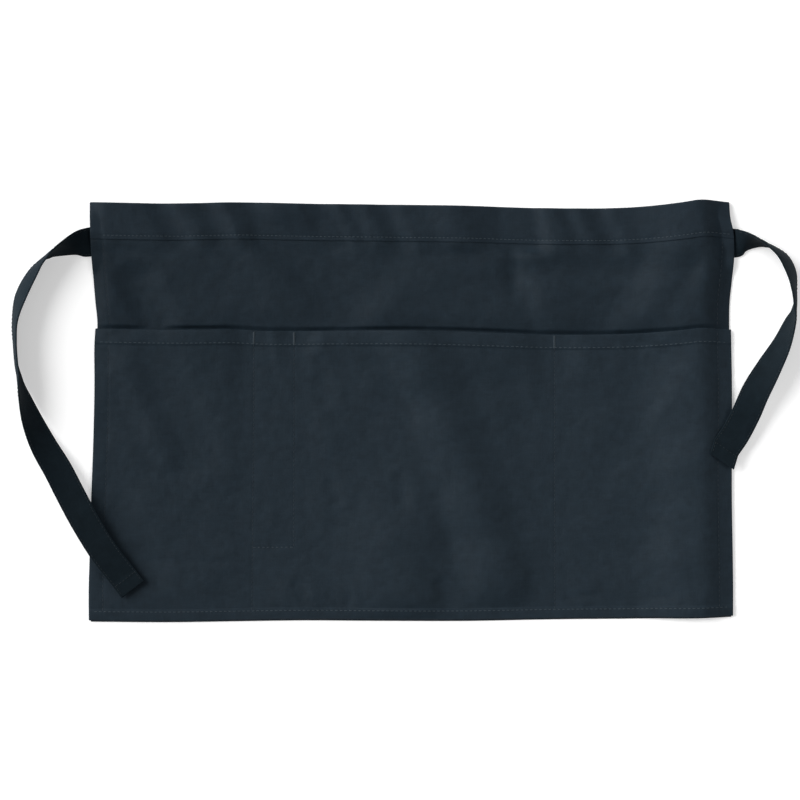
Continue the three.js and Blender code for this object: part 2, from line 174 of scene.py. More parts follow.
# The thread's darker and lighter tones are a painted shade between its strands and a painted highlight
# on their backs
THREAD_TONES = 0.75, 1.25
FLOOR_TONES = 0.995, 1.005
WEAVE_SHARE = 0.45
MOTTLE_SHARE = 0.55
SLUB_SHARE = 0.6
# Painted light: the tapes' reverse is painted this much lighter, for the light and sheen on their arcs,
# where it faces up, and for the cloth's lighter back
REVERSE_PAINTED_LIGHT = 1.4

# Floor, light and camera
FLOOR_SIZE = 12.0
FLOOR_GAP = 0.0001
FLOOR_GLOW = 0.35
KEY_SPREAD = radians(54)
KEY_PLACE = (-2.35, 0.95, 1.35)
FILL_PLACE = (0.9, 0.1, 1.2)
FILL_SIZE = 0.8
SENSOR_WIDTH = 36.0
VIEW_CENTRE = (-0.0102, 0.0109)

# Heights above the bottom edge
MOUTH_UP = POCKET_DEPTH
BAND_UP = APRON_HEIGHT - BAND_DEPTH
BAND_THICKNESS = 3 * CLOTH + 2 * SEAM_GAP
FOLD_UP = APRON_HEIGHT - BAND_THICKNESS / 2
PANEL_TOP_UP = FOLD_UP - 2 * SEAM_GAP
PANEL_LIFT = CLOTH + SEAM_GAP
TIE_SEWN_UP = BAND_UP + TAPE_WIDTH / 2

# Places across, from the left edge
FIRST_SEAM = LEFT_POCKET_WIDTH
SECOND_SEAM = FIRST_SEAM + PEN_POCKET_WIDTH
THIRD_SEAM = APRON_WIDTH - RIGHT_POCKET_WIDTH
PEN_FOOT_UP = MOUTH_UP - PEN_POCKET_DEPTH


def rows_of(kind, rows):
    """A table: a list of rows, each with the named columns of its kind."""
    return [kind(*row) for row in rows]


# Side edges from the bottom up: how far each lies inside the full width, as shares of it
SideRow = namedtuple("SideRow", "up left right")
SIDE_EDGES = rows_of(SideRow, [
    (0.00, 0.0010, 0.0003),
    (0.07, 0.0007, 0.0002),
    (0.15, 0.0021, 0.0008),
    (0.29, 0.0046, 0.0022),
    (0.43, 0.0079, 0.0021),
    (0.57, 0.0098, 0.0021),
    (0.66, 0.0097, 0.0031),
    (0.71, 0.0115, 0.0036),
    (0.76, 0.0085, 0.0030),
    (0.81, 0.0058, -0.0005),
    (0.87, 0.0025, -0.0039),
    (0.93, 0.0008, -0.0023),
    (0.96, 0.0002, 0.0020),
    (1.00, 0.0, 0.0038),
])

# Top and bottom edges from left to right: how far each lies above its straight line, as shares
# of the height
EndRow = namedtuple("EndRow", "across top bottom")
END_EDGES = rows_of(EndRow, [
    (0.00, 0.0, -0.0021),
    (0.13, -0.0033, -0.0033),
    (0.23, -0.0005, -0.0010),
    (0.33, -0.0036, 0.0010),
    (0.45, -0.0060, 0.0),
    (0.60, -0.0095, 0.0),
    (0.70, -0.0143, 0.0030),
    (0.78, -0.0153, 0.0045),
    (0.83, -0.0141, 0.0050),
    (0.88, -0.0090, 0.0060),
    (0.93, 0.0, 0.0060),
    (0.95, 0.0048, 0.0065),
    (1.00, 0.0, 0.0095),
])

# The pockets' mouth from left to right: how far it lies above its straight line, as a share of
# the height, and how far the front gapes there, as a share of the loft
MouthRow = namedtuple("MouthRow", "across above gape")
MOUTH_EDGE = rows_of(MouthRow, [
    (0.000, 0.003, 0.40),
    (0.080, 0.0027, 0.75),
    (0.160, 0.0020, 0.95),
    (0.225, 0.0005, 0.65),
    (0.262, -0.0025, 0.45),
    (0.315, -0.0022, 0.48),
    (0.380, 0.000, 0.68),
    (0.500, 0.002, 1.00),
    (0.640, -0.001, 0.95),
    (0.720, -0.003, 0.50),
    (0.820, -0.003, 0.42),
    (1.000, -0.003, 0.42),
])

# How full the pocket front lies below its mouth, from left to right, as a share of the loft
FullRow = namedtuple("FullRow", "across full")
FULLNESS = rows_of(FullRow, [
    (0.00, 0.20),
    (0.20, 0.22),
    (0.25, 0.14),
    (0.285, 0.10),
    (0.32, 0.14),
    (0.40, 0.20),
    (0.65, 0.20),
    (0.75, 0.14),
    (1.00, 0.20),
])

# Folds, each from its upper end to its lower one: a crest or, with a negative height, a furrow
# along a line that bows sideways by bow at its middle. Places are shares of the width and
# height, spread and bow are shares of the width, lean is how much wider the fold's right side
# is than its left, and height is a share of the loft.
Fold = namedtuple("Fold", "from_across from_up to_across to_up spread lean bow height")
YOKE_FOLDS = rows_of(Fold, [
    (0.064, 0.810, 0.098, 0.680, 0.038, 1.4, 0.0, -0.95),
    (0.303, 0.940, 0.392, 0.765, 0.066, 2.2, 0.0, -0.85),
    (0.655, 0.900, 0.660, 0.800, 0.014, 1.2, 0.0, -0.20),
    (0.695, 0.870, 0.722, 0.720, 0.036, 2.5, 0.0, 0.50),
    (0.909, 0.880, 0.845, 0.710, 0.046, 1.0, 0.0, 0.66),
    (0.660, 0.846, 0.930, 0.843, 0.030, 1.0, 0.0, -0.40),
    (0.400, 0.700, 0.690, 0.697, 0.024, 1.0, 0.0, -0.14),
])
BAND_PUCKERS = rows_of(Fold, [
    (0.104, 1.010, 0.152, 0.880, 0.030, 0.9, 0.0, -0.66),
    (0.175, 1.010, 0.217, 0.880, 0.027, 0.9, 0.0, -0.55),
    (0.245, 1.010, 0.290, 0.870, 0.040, 0.9, 0.0, -0.85),
    (0.353, 1.010, 0.398, 0.870, 0.034, 0.9, 0.0, -0.75),
    (0.405, 1.000, 0.432, 0.890, 0.020, 0.9, 0.0, -0.28),
    (0.455, 1.010, 0.493, 0.880, 0.028, 0.9, 0.0, -0.62),
    (0.560, 1.010, 0.585, 0.870, 0.040, 1.0, 0.0, 0.50),
    (0.672, 1.010, 0.692, 0.860, 0.090, 0.45, 0.0, -1.35),
    (0.742, 1.000, 0.765, 0.890, 0.022, 0.9, 0.0, -0.40),
    (0.788, 1.005, 0.818, 0.890, 0.026, 0.9, 0.0, -0.62),
    (0.990, 1.020, 1.000, 0.870, 0.048, 1.0, 0.0, -1.10),
])
POCKET_FOLDS = rows_of(Fold, [
    (0.485, 0.740, 0.637, 0.105, 0.066, 1.0, 0.010, 1.00),
    (0.655, 0.560, 0.700, 0.300, 0.036, 1.2, 0.0, -0.18),
    (0.461, 0.606, 0.505, 0.489, 0.010, 1.5, 0.0, -0.12),
    (0.047, 0.600, 0.117, 0.400, 0.036, 1.0, 0.0, 0.30),
    (0.496, 0.200, 0.502, 0.000, 0.130, 0.55, 0.0, 0.85),
    (0.377, 0.325, 0.383, 0.290, 0.018, 1.0, 0.0, -0.16),
    (0.483, 0.340, 0.489, 0.290, 0.017, 1.0, 0.0, -0.18),
    (0.900, 0.630, 0.810, 0.400, 0.034, 1.2, 0.0, -0.20),
    (0.882, 0.290, 0.882, 0.190, 0.030, 1.2, 0.0, -0.14),
    (0.350, 0.620, 0.364, 0.530, 0.024, 1.2, 0.0, -0.24),
    (0.270, 0.640, 0.300, 0.520, 0.020, 1.0, 0.0, -0.35),
    (0.095, 0.620, 0.155, 0.400, 0.052, 1.0, 0.0, -0.26),
    (0.094, 0.146, 0.226, 0.142, 0.008, 1.0, 0.0, -0.08),
    (0.322, 0.085, 0.335, 0.040, 0.012, 1.5, 0.0, -0.20),
    (0.401, 0.055, 0.404, 0.035, 0.010, 1.5, 0.0, -0.12),
    (0.545, 0.085, 0.560, 0.040, 0.016, 1.5, 0.0, -0.25),
    (0.700, 0.056, 0.790, 0.056, 0.010, 1.0, 0.0, -0.16),
    (0.876, 0.052, 0.905, 0.050, 0.010, 1.0, 0.0, -0.16),
])

# The body's right side lies over a long soft roll, from waist to hem
SHOULDER = Fold(0.955, 1.05, 0.955, -0.05, 0.112, 0.60, 0.0, 1.0)
SHOULDER_HEIGHT = 0.0075

# Long shallow waves that keep the cloth from lying like a board: waves a metre across and up,
# where the wave starts, and its height
Ripple = namedtuple("Ripple", "across up phase height")
RIPPLES = rows_of(Ripple, [
    (11.0, 4.0, 0.4, 0.00030),
    (-7.0, 13.0, 2.1, 0.00026),
    (19.0, 9.0, 1.2, 0.00014),
    (5.0, -21.0, 3.7, 0.00012),
    (27.0, -17.0, 5.2, 0.00007),
    (-31.0, -12.0, 0.9, 0.00006),
])

# Rows of stitches, in metres from the left edge and the bottom edge, each at its own pitch
StitchRow = namedtuple("StitchRow", "piece sheet pitch from_x from_y to_x to_y")
SIDE_ROW = SIDE_HEM - STITCH_INSET
RIGHT_ROW = APRON_WIDTH - SIDE_ROW
HEM_ROW = BOTTOM_HEM - STITCH_INSET
MOUTH_ROW = MOUTH_UP - MOUTH_HEM + STITCH_INSET
BAND_ROW = BAND_UP + BAND_STITCH_UP
# The thread of these pieces is painted lighter, as painted light: rows across catch the light from
# above, upright rows less
LIT_ROW_PIECES = "band_stitches", "mouth_stitches", "hem_stitches", "pen_foot_stitches", "bartacks"
ROW_END = 0.003
LAST_X = APRON_WIDTH - ROW_END
POCKET_TOP = MOUTH_UP - ROW_END
YOKE_FOOT = MOUTH_UP + ROW_END
YOKE_TOP = BAND_UP - ROW_END
BAND_PITCH = 0.0039
MOUTH_PITCH = 0.0046
HEM_PITCH = 0.0044
SEAM_PITCH = 0.0042
TAPE_PITCH = 0.0036
STITCH_ROWS = rows_of(StitchRow, [
    ("band_stitches", "band", BAND_PITCH, SIDE_ROW, BAND_ROW, LAST_X, BAND_ROW),
    ("mouth_stitches", "pocket", MOUTH_PITCH, ROW_END, MOUTH_ROW, LAST_X, MOUTH_ROW),
    ("hem_stitches", "pocket", HEM_PITCH, ROW_END, HEM_ROW, LAST_X, HEM_ROW),
    ("divider_stitches", "pocket", SEAM_PITCH, FIRST_SEAM, HEM_ROW, FIRST_SEAM, MOUTH_ROW),
    ("divider_stitches", "pocket", SEAM_PITCH, SECOND_SEAM, PEN_FOOT_UP, SECOND_SEAM, MOUTH_ROW),
    ("divider_stitches", "pocket", SEAM_PITCH, THIRD_SEAM, HEM_ROW, THIRD_SEAM, MOUTH_ROW),
    ("pen_foot_stitches", "pocket", SEAM_PITCH, FIRST_SEAM, PEN_FOOT_UP, SECOND_SEAM, PEN_FOOT_UP),
    ("side_stitches", "pocket", HEM_PITCH, SIDE_ROW, HEM_ROW, SIDE_ROW, POCKET_TOP),
    ("side_stitches", "panel", HEM_PITCH, SIDE_ROW, YOKE_FOOT, SIDE_ROW, YOKE_TOP),
    ("side_stitches", "pocket", HEM_PITCH, RIGHT_ROW, HEM_ROW, RIGHT_ROW, POCKET_TOP),
    ("side_stitches", "panel", HEM_PITCH, RIGHT_ROW, YOKE_FOOT, RIGHT_ROW, YOKE_TOP),
])

# Routes of the two tapes from the body's side to the hem of the free end. out is how far past
# the side, as a share of the tie's reach; up is a share of the height. roll lifts the outer
# edge, in degrees; curl bends the section, in degrees each way; lift is how high the tape
# hangs, as a share of the height of the pocket front.
RouteRow = namedtuple("RouteRow", "out up roll curl lift")
LEFT_ROUTE = rows_of(RouteRow, [
    (-0.180, 0.914, 0, 0, 0),
    (-0.026, 0.906, 1, 0, 0),
    (0.077, 0.902, 15, 2, 0),
    (0.206, 0.896, 47, 10, 0),
    (0.398, 0.881, 73, 20, 0),
    (0.532, 0.869, 90, 25, 0),
    (0.706, 0.833, 112, 14, 0),
    (0.870, 0.776, 117, 8, 0),
    (0.946, 0.718, 105, 8, 0),
    (0.948, 0.665, 100, 10, 0),
    (0.903, 0.589, 91, 24, 0),
    (0.819, 0.532, 69, 16, 0.03),
    (0.720, 0.475, 47, 8, 0.15),
    (0.581, 0.418, 28, 3, 0.5),
    (0.398, 0.360, 14, 0, 1.0),
    (0.240, 0.303, 5, 0, 1.3),
    (0.055, 0.239, 2, 0, 1.4),
    (-0.190, 0.165, 0, 0, 1.2),
    (-0.445, 0.103, 0, 0, 0.8),
])
RIGHT_ROUTE = rows_of(RouteRow, [
    (-0.200, 0.914, 0, 0, 0),
    (-0.020, 0.903, 1, 0, 0),
    (0.090, 0.902, 15, 2, 0),
    (0.200, 0.904, 48, 10, 0),
    (0.334, 0.902, 69, 20, 0),
    (0.513, 0.896, 90, 25, 0),
    (0.739, 0.870, 110, 14, 0),
    (0.857, 0.838, 114, 8, 0),
    (0.905, 0.804, 107, 8, 0),
    (0.918, 0.746, 91, 24, 0),
    (0.862, 0.718, 73, 18, 0.02),
    (0.730, 0.661, 54, 8, 0.15),
    (0.539, 0.604, 34, 3, 0.55),
    (0.345, 0.547, 14, 0, 1.05),
    (0.208, 0.496, 3, 0, 1.15),
    (0.055, 0.448, 0, 0, 1.0),
    (-0.088, 0.414, 0, 0, 0.8),
])

# Seams that close the pockets, from each first end to its second
Seam = namedtuple("Seam", "from_x from_y to_x to_y")
POCKET_SEAMS = rows_of(Seam, [
    (FIRST_SEAM, 0, FIRST_SEAM, MOUTH_UP),
    (SECOND_SEAM, PEN_FOOT_UP, SECOND_SEAM, MOUTH_UP),
    (THIRD_SEAM, 0, THIRD_SEAM, MOUTH_UP),
    (FIRST_SEAM, PEN_FOOT_UP, SECOND_SEAM, PEN_FOOT_UP),
])


class ApronSizes(bpy.types.PropertyGroup):
    """Sizes of the thread and the weave."""

    stitch_share: bpy.props.FloatProperty(
        name="Stitch share", description="Share of a stitch's pitch on which thread shows", default=0.62
    )
    thread_width: bpy.props.FloatProperty(
        name="Thread width", description="Diameter of the sewing thread", default=0.00045, unit="LENGTH"
    )
    yarn_pitch: bpy.props.FloatProperty(
        name="Yarn pitch", description="From one yarn to the next", default=0.00055, unit="LENGTH"
    )


class ApronColours(bpy.types.PropertyGroup):
    """Colours of the cloth and the thread."""

    # The body panel, waistband, pocket front and tapes are one cloth; the differences between their
    # four tones are painted sheen, each piece as light or dark as its grain's direction looks under the
    # light
    panel: bpy.props.FloatVectorProperty(
        name="Body panel",
        description="Cloth of the body",
        default=(0.0086, 0.0158, 0.0230),
        subtype="COLOR",
    )
    band: bpy.props.FloatVectorProperty(
        name="Waistband",
        description="Cloth of the waistband",
        default=(0.0092, 0.0165, 0.0240),
        subtype="COLOR",
    )
    pocket: bpy.props.FloatVectorProperty(
        name="Pocket front",
        description="Cloth of the pockets",
        default=(0.0105, 0.0184, 0.0262),
        subtype="COLOR",
    )
    tie: bpy.props.FloatVectorProperty(
        name="Ties",
        description="Cloth of the tapes",
        default=(0.0050, 0.0094, 0.0130),
        subtype="COLOR",
    )
    # The three threads are one thread, in tones painted as light and shade: lighter for the rows
    # across, which catch the light from above, close to the cloth for the upright rows, and darker
    # still on the darker tapes
    light_thread: bpy.props.FloatVectorProperty(
        name="Light thread",
        description="Thread of the rows across",
        default=(0.040, 0.056, 0.068),
        subtype="COLOR",
    )
    dark_thread: bpy.props.FloatVectorProperty(
        name="Dark thread",
        description="Thread of the upright rows",
        default=(0.0118, 0.0200, 0.0275),
        subtype="COLOR",
    )
    tape_thread: bpy.props.FloatVectorProperty(
        name="Tape thread",
        description="Thread of the tapes",
        default=(0.0058, 0.0108, 0.0150),
        subtype="COLOR",
    )


class ApronStage(bpy.types.PropertyGroup):
    """Floor, light and camera."""

    floor: bpy.props.FloatVectorProperty(
        name="Floor", description="Colour of the floor", default=(0.80, 0.80, 0.80), subtype="COLOR"
    )
    key_power: bpy.props.FloatProperty(
        name="Key light", description="Strength of the broad soft light from the left", default=5.0
    )
    fill_power: bpy.props.FloatProperty(
        name="Fill light", description="Power of the light on the right", default=5.0, unit="POWER"
    )
    sky: bpy.props.FloatProperty(
        name="Sky", description="Strength of the light from all round", default=0.22
    )
    lens: bpy.props.FloatProperty(
        name="Lens", description="Focal length of the camera", default=200.0, unit="CAMERA"
    )
    view_width: bpy.props.FloatProperty(
        name="View width", description="Width of floor in the view", default=0.7608, unit="LENGTH"
    )


def ramp(t):
    """0 up to 0, 1 from 1 on, and between them an S curve, 3 t squared less 2 t cubed."""
    part = np.clip(t, 0, 1)
    return part * part * (3 - 2 * part)


def bump(t):
    """A round hill that is 1 at 0 and falls to 0 at 1, as the square of 1 less t squared."""
    part = np.minimum(np.abs(t), 1)
    return (1 - part * part) ** 2


def roll(t):
    """A quarter of a sine wave, from 0 at 0 to 1 at 1."""
    return np.sin(pi / 2 * np.clip(t, 0, 1))


def raised(value):
    """0 below 0, and above it the value itself, eased in over the first SOFTENING."""
    value = np.maximum(value, 0)
    return value * value / (value + SOFTENING)


def read(table, key, place, column):
    """One column of a table at a place along it: a cubic through its rows, whose slope at each
    row is that of the rows beside it."""
    places = np.array([getattr(row, key) for row in table], float)
    values = np.array([getattr(row, column) for row in table], float)
    slopes = np.gradient(values, places)
    place = np.clip(place, places[0], places[-1])
    high = np.clip(np.searchsorted(places, place), 1, len(places) - 1)
    low = high - 1
    span = places[high] - places[low]
    t = (place - places[low]) / span
    from_low = values[low] * (1 + 2 * t) * (1 - t) ** 2 + slopes[low] * span * t * (1 - t) ** 2
    from_high = values[high] * t * t * (3 - 2 * t) + slopes[high] * span * t * t * (t - 1)
    return from_low + from_high


def beside_line(x, y, from_x, from_y, to_x, to_y, bow=0.0):
    """How far places lie to the right of a line that is walked from its second end to its
    first, and how far past its ends. The line bows sideways by bow at its middle."""
    dx, dy = to_x - from_x, to_y - from_y
    length = np.hypot(dx, dy)
    passed = ((x - from_x) * dx + (y - from_y) * dy) / length
    share = np.clip(passed / length, 0, 1)
    aside = ((y - from_y) * dx - (x - from_x) * dy) / length - bow * 4 * share * (1 - share)
    return aside, passed - share * length


def distance_to_line(x, y, from_x, from_y, to_x, to_y):
    """Distance to a straight line between two points."""
    return np.hypot(*beside_line(x, y, from_x, from_y, to_x, to_y))


def fold_at(fold, x, y):
    """One fold: its height times a round hill across its line, wider on the right by lean."""
    ends = fold.from_across, fold.from_up, fold.to_across, fold.to_up
    line = (part * size for part, size in zip(ends, 2 * (APRON_WIDTH, APRON_HEIGHT)))
    aside, past = beside_line(x, y, *line, fold.bow * APRON_WIDTH)
    spread = fold.spread * APRON_WIDTH
    beside = aside / np.where(aside > 0, spread * fold.lean, spread)
    return fold.height * bump(np.hypot(beside, past / spread))


def folds_at(table, x, y):
    """Sum of a table's folds."""
    return sum(fold_at(fold, x, y) for fold in table)


def ripples_at(x, y):
    """Sum of long sine waves that cross the cloth in several directions."""
    waves = (r.height * np.sin(2 * pi * (r.across * x + r.up * y) + r.phase) for r in RIPPLES)
    return sum(waves)


def on_table(x, y):
    """Where a place on the flat rectangle lies. Its edges bow as the tables say. The cloth
    between top and bottom moves in proportion, and that along the sides over EDGE_DRAW."""
    across, above = x / APRON_WIDTH, y / APRON_HEIGHT
    left = read(SIDE_EDGES, "up", above, "left") * (1 - ramp(x / EDGE_DRAW))
    right = read(SIDE_EDGES, "up", above, "right") * (1 - ramp((APRON_WIDTH - x) / EDGE_DRAW))
    top = read(END_EDGES, "across", across, "top")
    bottom = read(END_EDGES, "across", across, "bottom")
    drawn = read(MOUTH_EDGE, "across", across, "above") * bump((y - MOUTH_UP) / MOUTH_DRAW)
    table_x = (across - 0.5 + left - right) * APRON_WIDTH
    table_y = (above - 0.5 + bottom + (top - bottom) * above + drawn) * APRON_HEIGHT
    return table_x, table_y


def on_cloth(table_x, table_y):
    """The place on the rectangle that lies at a point of the table, found in a few corrections."""
    x, y = table_x + APRON_WIDTH / 2, table_y + APRON_HEIGHT / 2
    for _ in range(CORRECTIONS):
        now_x, now_y = on_table(x, y)
        x, y = x + table_x - now_x, y + table_y - now_y
    return x, y


def side_roll(x):
    """Share of the loft that is left near the two side edges."""
    return roll(x / LEFT_RUN) * roll((APRON_WIDTH - x) / RIGHT_RUN)


def hem_roll(y):
    """Share of the loft that is left near the bottom edge."""
    return roll(y / HEM_RUN)


def seam_share(x, y):
    """1 on the seams that close the pockets and 0 past SEAM_RUN."""
    return np.max([bump(distance_to_line(x, y, *seam) / SEAM_RUN) for seam in POCKET_SEAMS], axis=0)


def hem_share(inside, depth):
    """Doubled cloth: whole on the hem and none past its step."""
    return 1 - ramp((inside - depth) / HEM_STEP)


def stitch_dip(sheet, x, y):
    """How far the thread pulls the face of a sheet in along its rows of stitches."""
    lines = [row[3:] for row in STITCH_ROWS if row.sheet == sheet]
    pulls = [bump(distance_to_line(x, y, *line) / STITCH_DIP_RUN) for line in lines]
    return STITCH_DIP * np.max(pulls, axis=0)


def roping(x, y, row_y):
    """Slanting waves that a row of stitches across the cloth draws up on both its sides. They
    swell and fade slowly along the row."""
    slanted = (x + ROPING_SLANT * y) / ROPING_WAVE
    swell = np.sin(2 * pi * SWELL_TO_WAVE * slanted + SWELL_START)
    waves = np.sin(2 * pi * slanted) * (ROPING_EVEN + ROPING_SWELL * swell)
    return ROPING * waves * bump((y - row_y) / ROPING_RUN)


def lift_over_tapes(x, y):
    """The sewn end of each tape lies under the waistband, and lifts the cloth over it."""
    lifts = []
    for inside, leaves in ((x, LEFT_ROUTE[1].up), (APRON_WIDTH - x, RIGHT_ROUTE[1].up)):
        away = distance_to_line(inside, y, 0, leaves * APRON_HEIGHT, TIE_SEWN_LENGTH, TIE_SEWN_UP)
        slack = TIE_SLACK * (1 - ramp(inside / TIE_SEWN_LENGTH))
        past = (away - TAPE_WIDTH / 2 - TIE_MARGIN) / TIE_RUN
        lifts.append((TAPE_THICKNESS + SEAM_GAP + slack) * (1 - ramp(past)))
    return np.maximum(*lifts)


def panel_rise(x, y):
    """Height of the body panel's underside. Behind the pockets it is flat but for the shoulder,
    from the mouth up it has the yoke's loft with its folds and ripples, and in the waistband
    the same loft with the puckers, on top of the band's back ply. All of it runs out to the
    sides, and nothing is lower than the sewn ends of the tapes lift it."""
    gape = read(MOUTH_EDGE, "across", x / APRON_WIDTH, "gape")
    dip = MOUTH_DIP * gape * (1 - ramp((y - MOUTH_UP) / MOUTH_DIP_RUN))
    from_mouth = np.maximum(ramp((y - MOUTH_UP) / MOUTH_RUN + MOUTH_SHARE) - dip, 0)
    under_band = ramp((y - BAND_UP) / BAND_DEPTH)
    yoke = from_mouth * (1 - under_band)
    folds = folds_at(YOKE_FOLDS, x, y) * yoke
    in_band = ramp((y - BAND_UP + BAND_RUN) / BAND_RUN)
    puckers = folds_at(BAND_PUCKERS, x, y) * in_band
    full = np.maximum(yoke, in_band) + folds + puckers
    loft = YOKE_LOFT * full + ripples_at(x, y) * yoke
    shoulder = SHOULDER_HEIGHT * fold_at(SHOULDER, x, y)
    along_band = roping(x, y, BAND_ROW)
    lying = raised((loft + shoulder + along_band) * side_roll(x))
    return np.maximum(lying, lift_over_tapes(x, y)) + PANEL_LIFT * in_band


def panel_thickness(x, y):
    """One layer of cloth, doubled at the side hems and the bottom hem."""
    side = 1 - ramp((np.minimum(x, APRON_WIDTH - x) - SIDE_HEM + SIDE_STEP) / SIDE_STEP)
    below_band = hem_share(y, BAND_UP - HEM_STEP)
    return CLOTH + HEM_FOLD * np.maximum(side * below_band, hem_share(y, BOTTOM_HEM))


def pocket_rise(x, y):
    """Height of the pocket front's underside: on the panel along the seams and edges, and
    between them as full as the tables say, with its folds."""
    at_mouth = ramp((y - MOUTH_UP + MOUTH_GAPE_RUN) / MOUTH_GAPE_RUN)
    across = x / APRON_WIDTH
    below, gape = read(FULLNESS, "across", across, "full"), read(MOUTH_EDGE, "across", across, "gape")
    full = below * (1 - at_mouth) + gape * at_mouth
    open_share = 1 - seam_share(x, y)
    folds = folds_at(POCKET_FOLDS, x, y)
    stand = POCKET_LOFT * (open_share * full + open_share**2 * folds) + open_share * ripples_at(x, y)
    edges = side_roll(x) * hem_roll(y - HEM_REVEAL)
    ropes = (roping(x, y, MOUTH_ROW) + roping(x, y, HEM_ROW)) * edges
    base = panel_rise(x, np.minimum(y, MOUTH_UP)) + panel_thickness(x, y) + SEAM_GAP
    return base + raised(stand * edges + ropes)


def pocket_thickness(x, y):
    """One layer of cloth, doubled at the hem of the mouth and the bottom hem."""
    return CLOTH + HEM_FOLD * np.maximum(hem_share(MOUTH_UP - y, MOUTH_HEM), hem_share(y, BOTTOM_HEM))


def front_height(table_x, table_y):
    """Height of the pocket front at a point of the table, or the floor off its sides."""
    x, y = on_cloth(table_x, table_y)
    inside = np.clip(x, 0, APRON_WIDTH)
    height = pocket_rise(inside, y) + pocket_thickness(inside, y)
    return np.where((x < -POCKET_OVERHANG) | (x > APRON_WIDTH + POCKET_OVERHANG), 0, height)


def panel_face(x, y):
    """Points on the upper face of the body panel."""
    height = panel_rise(x, y) + panel_thickness(x, y) - stitch_dip("panel", x, y)
    return np.stack([*on_table(x, y), height], axis=-1)


def pocket_face(x, y):
    """Points on the upper face of the pocket front."""
    height = pocket_rise(x, y) + pocket_thickness(x, y) - stitch_dip("pocket", x, y)
    return np.stack([*on_table(x, y), height], axis=-1)


def band_face(x, y):
    """Points on the upper face of the waistband's front ply."""
    pressed = BAND_PRESS * (1 - ramp((y - BAND_UP) / BAND_TURN))
    height = panel_rise(x, np.minimum(y, PANEL_TOP_UP)) - PANEL_LIFT + BAND_THICKNESS - pressed
    return np.stack([*on_table(x, y), height - stitch_dip("band", x, y)], axis=-1)


# Upper faces by the names that the rows of stitches give their sheets
FACES = {"panel": panel_face, "pocket": pocket_face, "band": band_face}


def rim(inside):
    """Share of the thickness near the rim of a sheet: a quarter of a circle over EDGE_ROUND."""
    part = 1 - np.clip(inside / EDGE_ROUND, 0, 1)
    return np.sqrt(1 - part * part)


def near(place):
    """Grid lines on both sides of a row of stitches."""
    return [place + share * STITCH_DIP_RUN for share in ROW_LINES]


def from_edge(edge, inwards):
    """Grid lines close to a rim, so that it is round."""
    return [edge + inwards * share * EDGE_ROUND for share in RIM_LINES]


def spaced(marks, widest):
    """Places from the first mark to the last, with every mark kept and no step over the widest."""
    marks = np.unique(np.round(marks, GRID_DIGITS))
    counts = np.maximum(1, np.ceil(np.diff(marks) / widest - TINY)).astype(int)
    spans = zip(marks[:-1], marks[1:], counts)
    parts = [np.linspace(low, high, count, endpoint=False) for low, high, count in spans]
    return np.append(np.concatenate(parts), marks[-1])


def sheet_columns():
    """Grid lines across the body, close together at its rims, hems and upright seams."""
    marks = [*from_edge(0, 1), *near(SIDE_ROW), SIDE_HEM, SIDE_HEM + HEM_STEP]
    marks += [APRON_WIDTH - mark for mark in marks]
    for seam in (FIRST_SEAM, SECOND_SEAM, THIRD_SEAM):
        marks += near(seam)
    return spaced(marks, STEP_ACROSS)


def pocket_rows():
    """Grid lines up the pocket front, close together at its rims, hems and rows of stitches."""
    marks = [*from_edge(HEM_REVEAL, 1), *near(HEM_ROW), BOTTOM_HEM, BOTTOM_HEM + HEM_STEP]
    marks += [*near(PEN_FOOT_UP), *near(MOUTH_ROW), MOUTH_UP - MOUTH_HEM - HEM_STEP]
    marks += from_edge(MOUTH_UP, -1)
    return spaced(marks, STEP_UP)


def panel_rows():
    """Grid lines up the body panel: wide apart where the pockets and the waistband hide it."""
    shown = MOUTH_UP - 2 * MOUTH_HEM
    hidden = [*from_edge(0, 1), BOTTOM_HEM, BOTTOM_HEM + HEM_STEP, shown]
    top = [BAND_UP, *from_edge(PANEL_TOP_UP, -1)]
    mouth = [MOUTH_UP + share * MOUTH_DIP_RUN for share in DIP_LINES]
    yoke = spaced([shown, *mouth, BAND_UP], STEP_UP)
    return np.unique([*spaced(hidden, HIDDEN_STEP_UP), *yoke, *spaced(top, HIDDEN_STEP_UP)])


def make_piece(name, points, quads, flat):
    """A smooth mesh of four-sided faces that rides on the body, with the flat cloth's places in
    metres as its UV map."""
    mesh = bpy.data.meshes.new(name)
    mesh.from_pydata(points.reshape(-1, 3).tolist(), [], quads.tolist())
    mesh.polygons.foreach_set("use_smooth", np.ones(len(quads), bool))
    mesh.uv_layers.new(name="flat").data.foreach_set("uv", flat.reshape(-1, 2)[quads.ravel()].ravel())
    piece = bpy.data.objects.new(name, mesh)
    bpy.context.scene.collection.objects.link(piece)
    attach(piece, "root")
    return piece


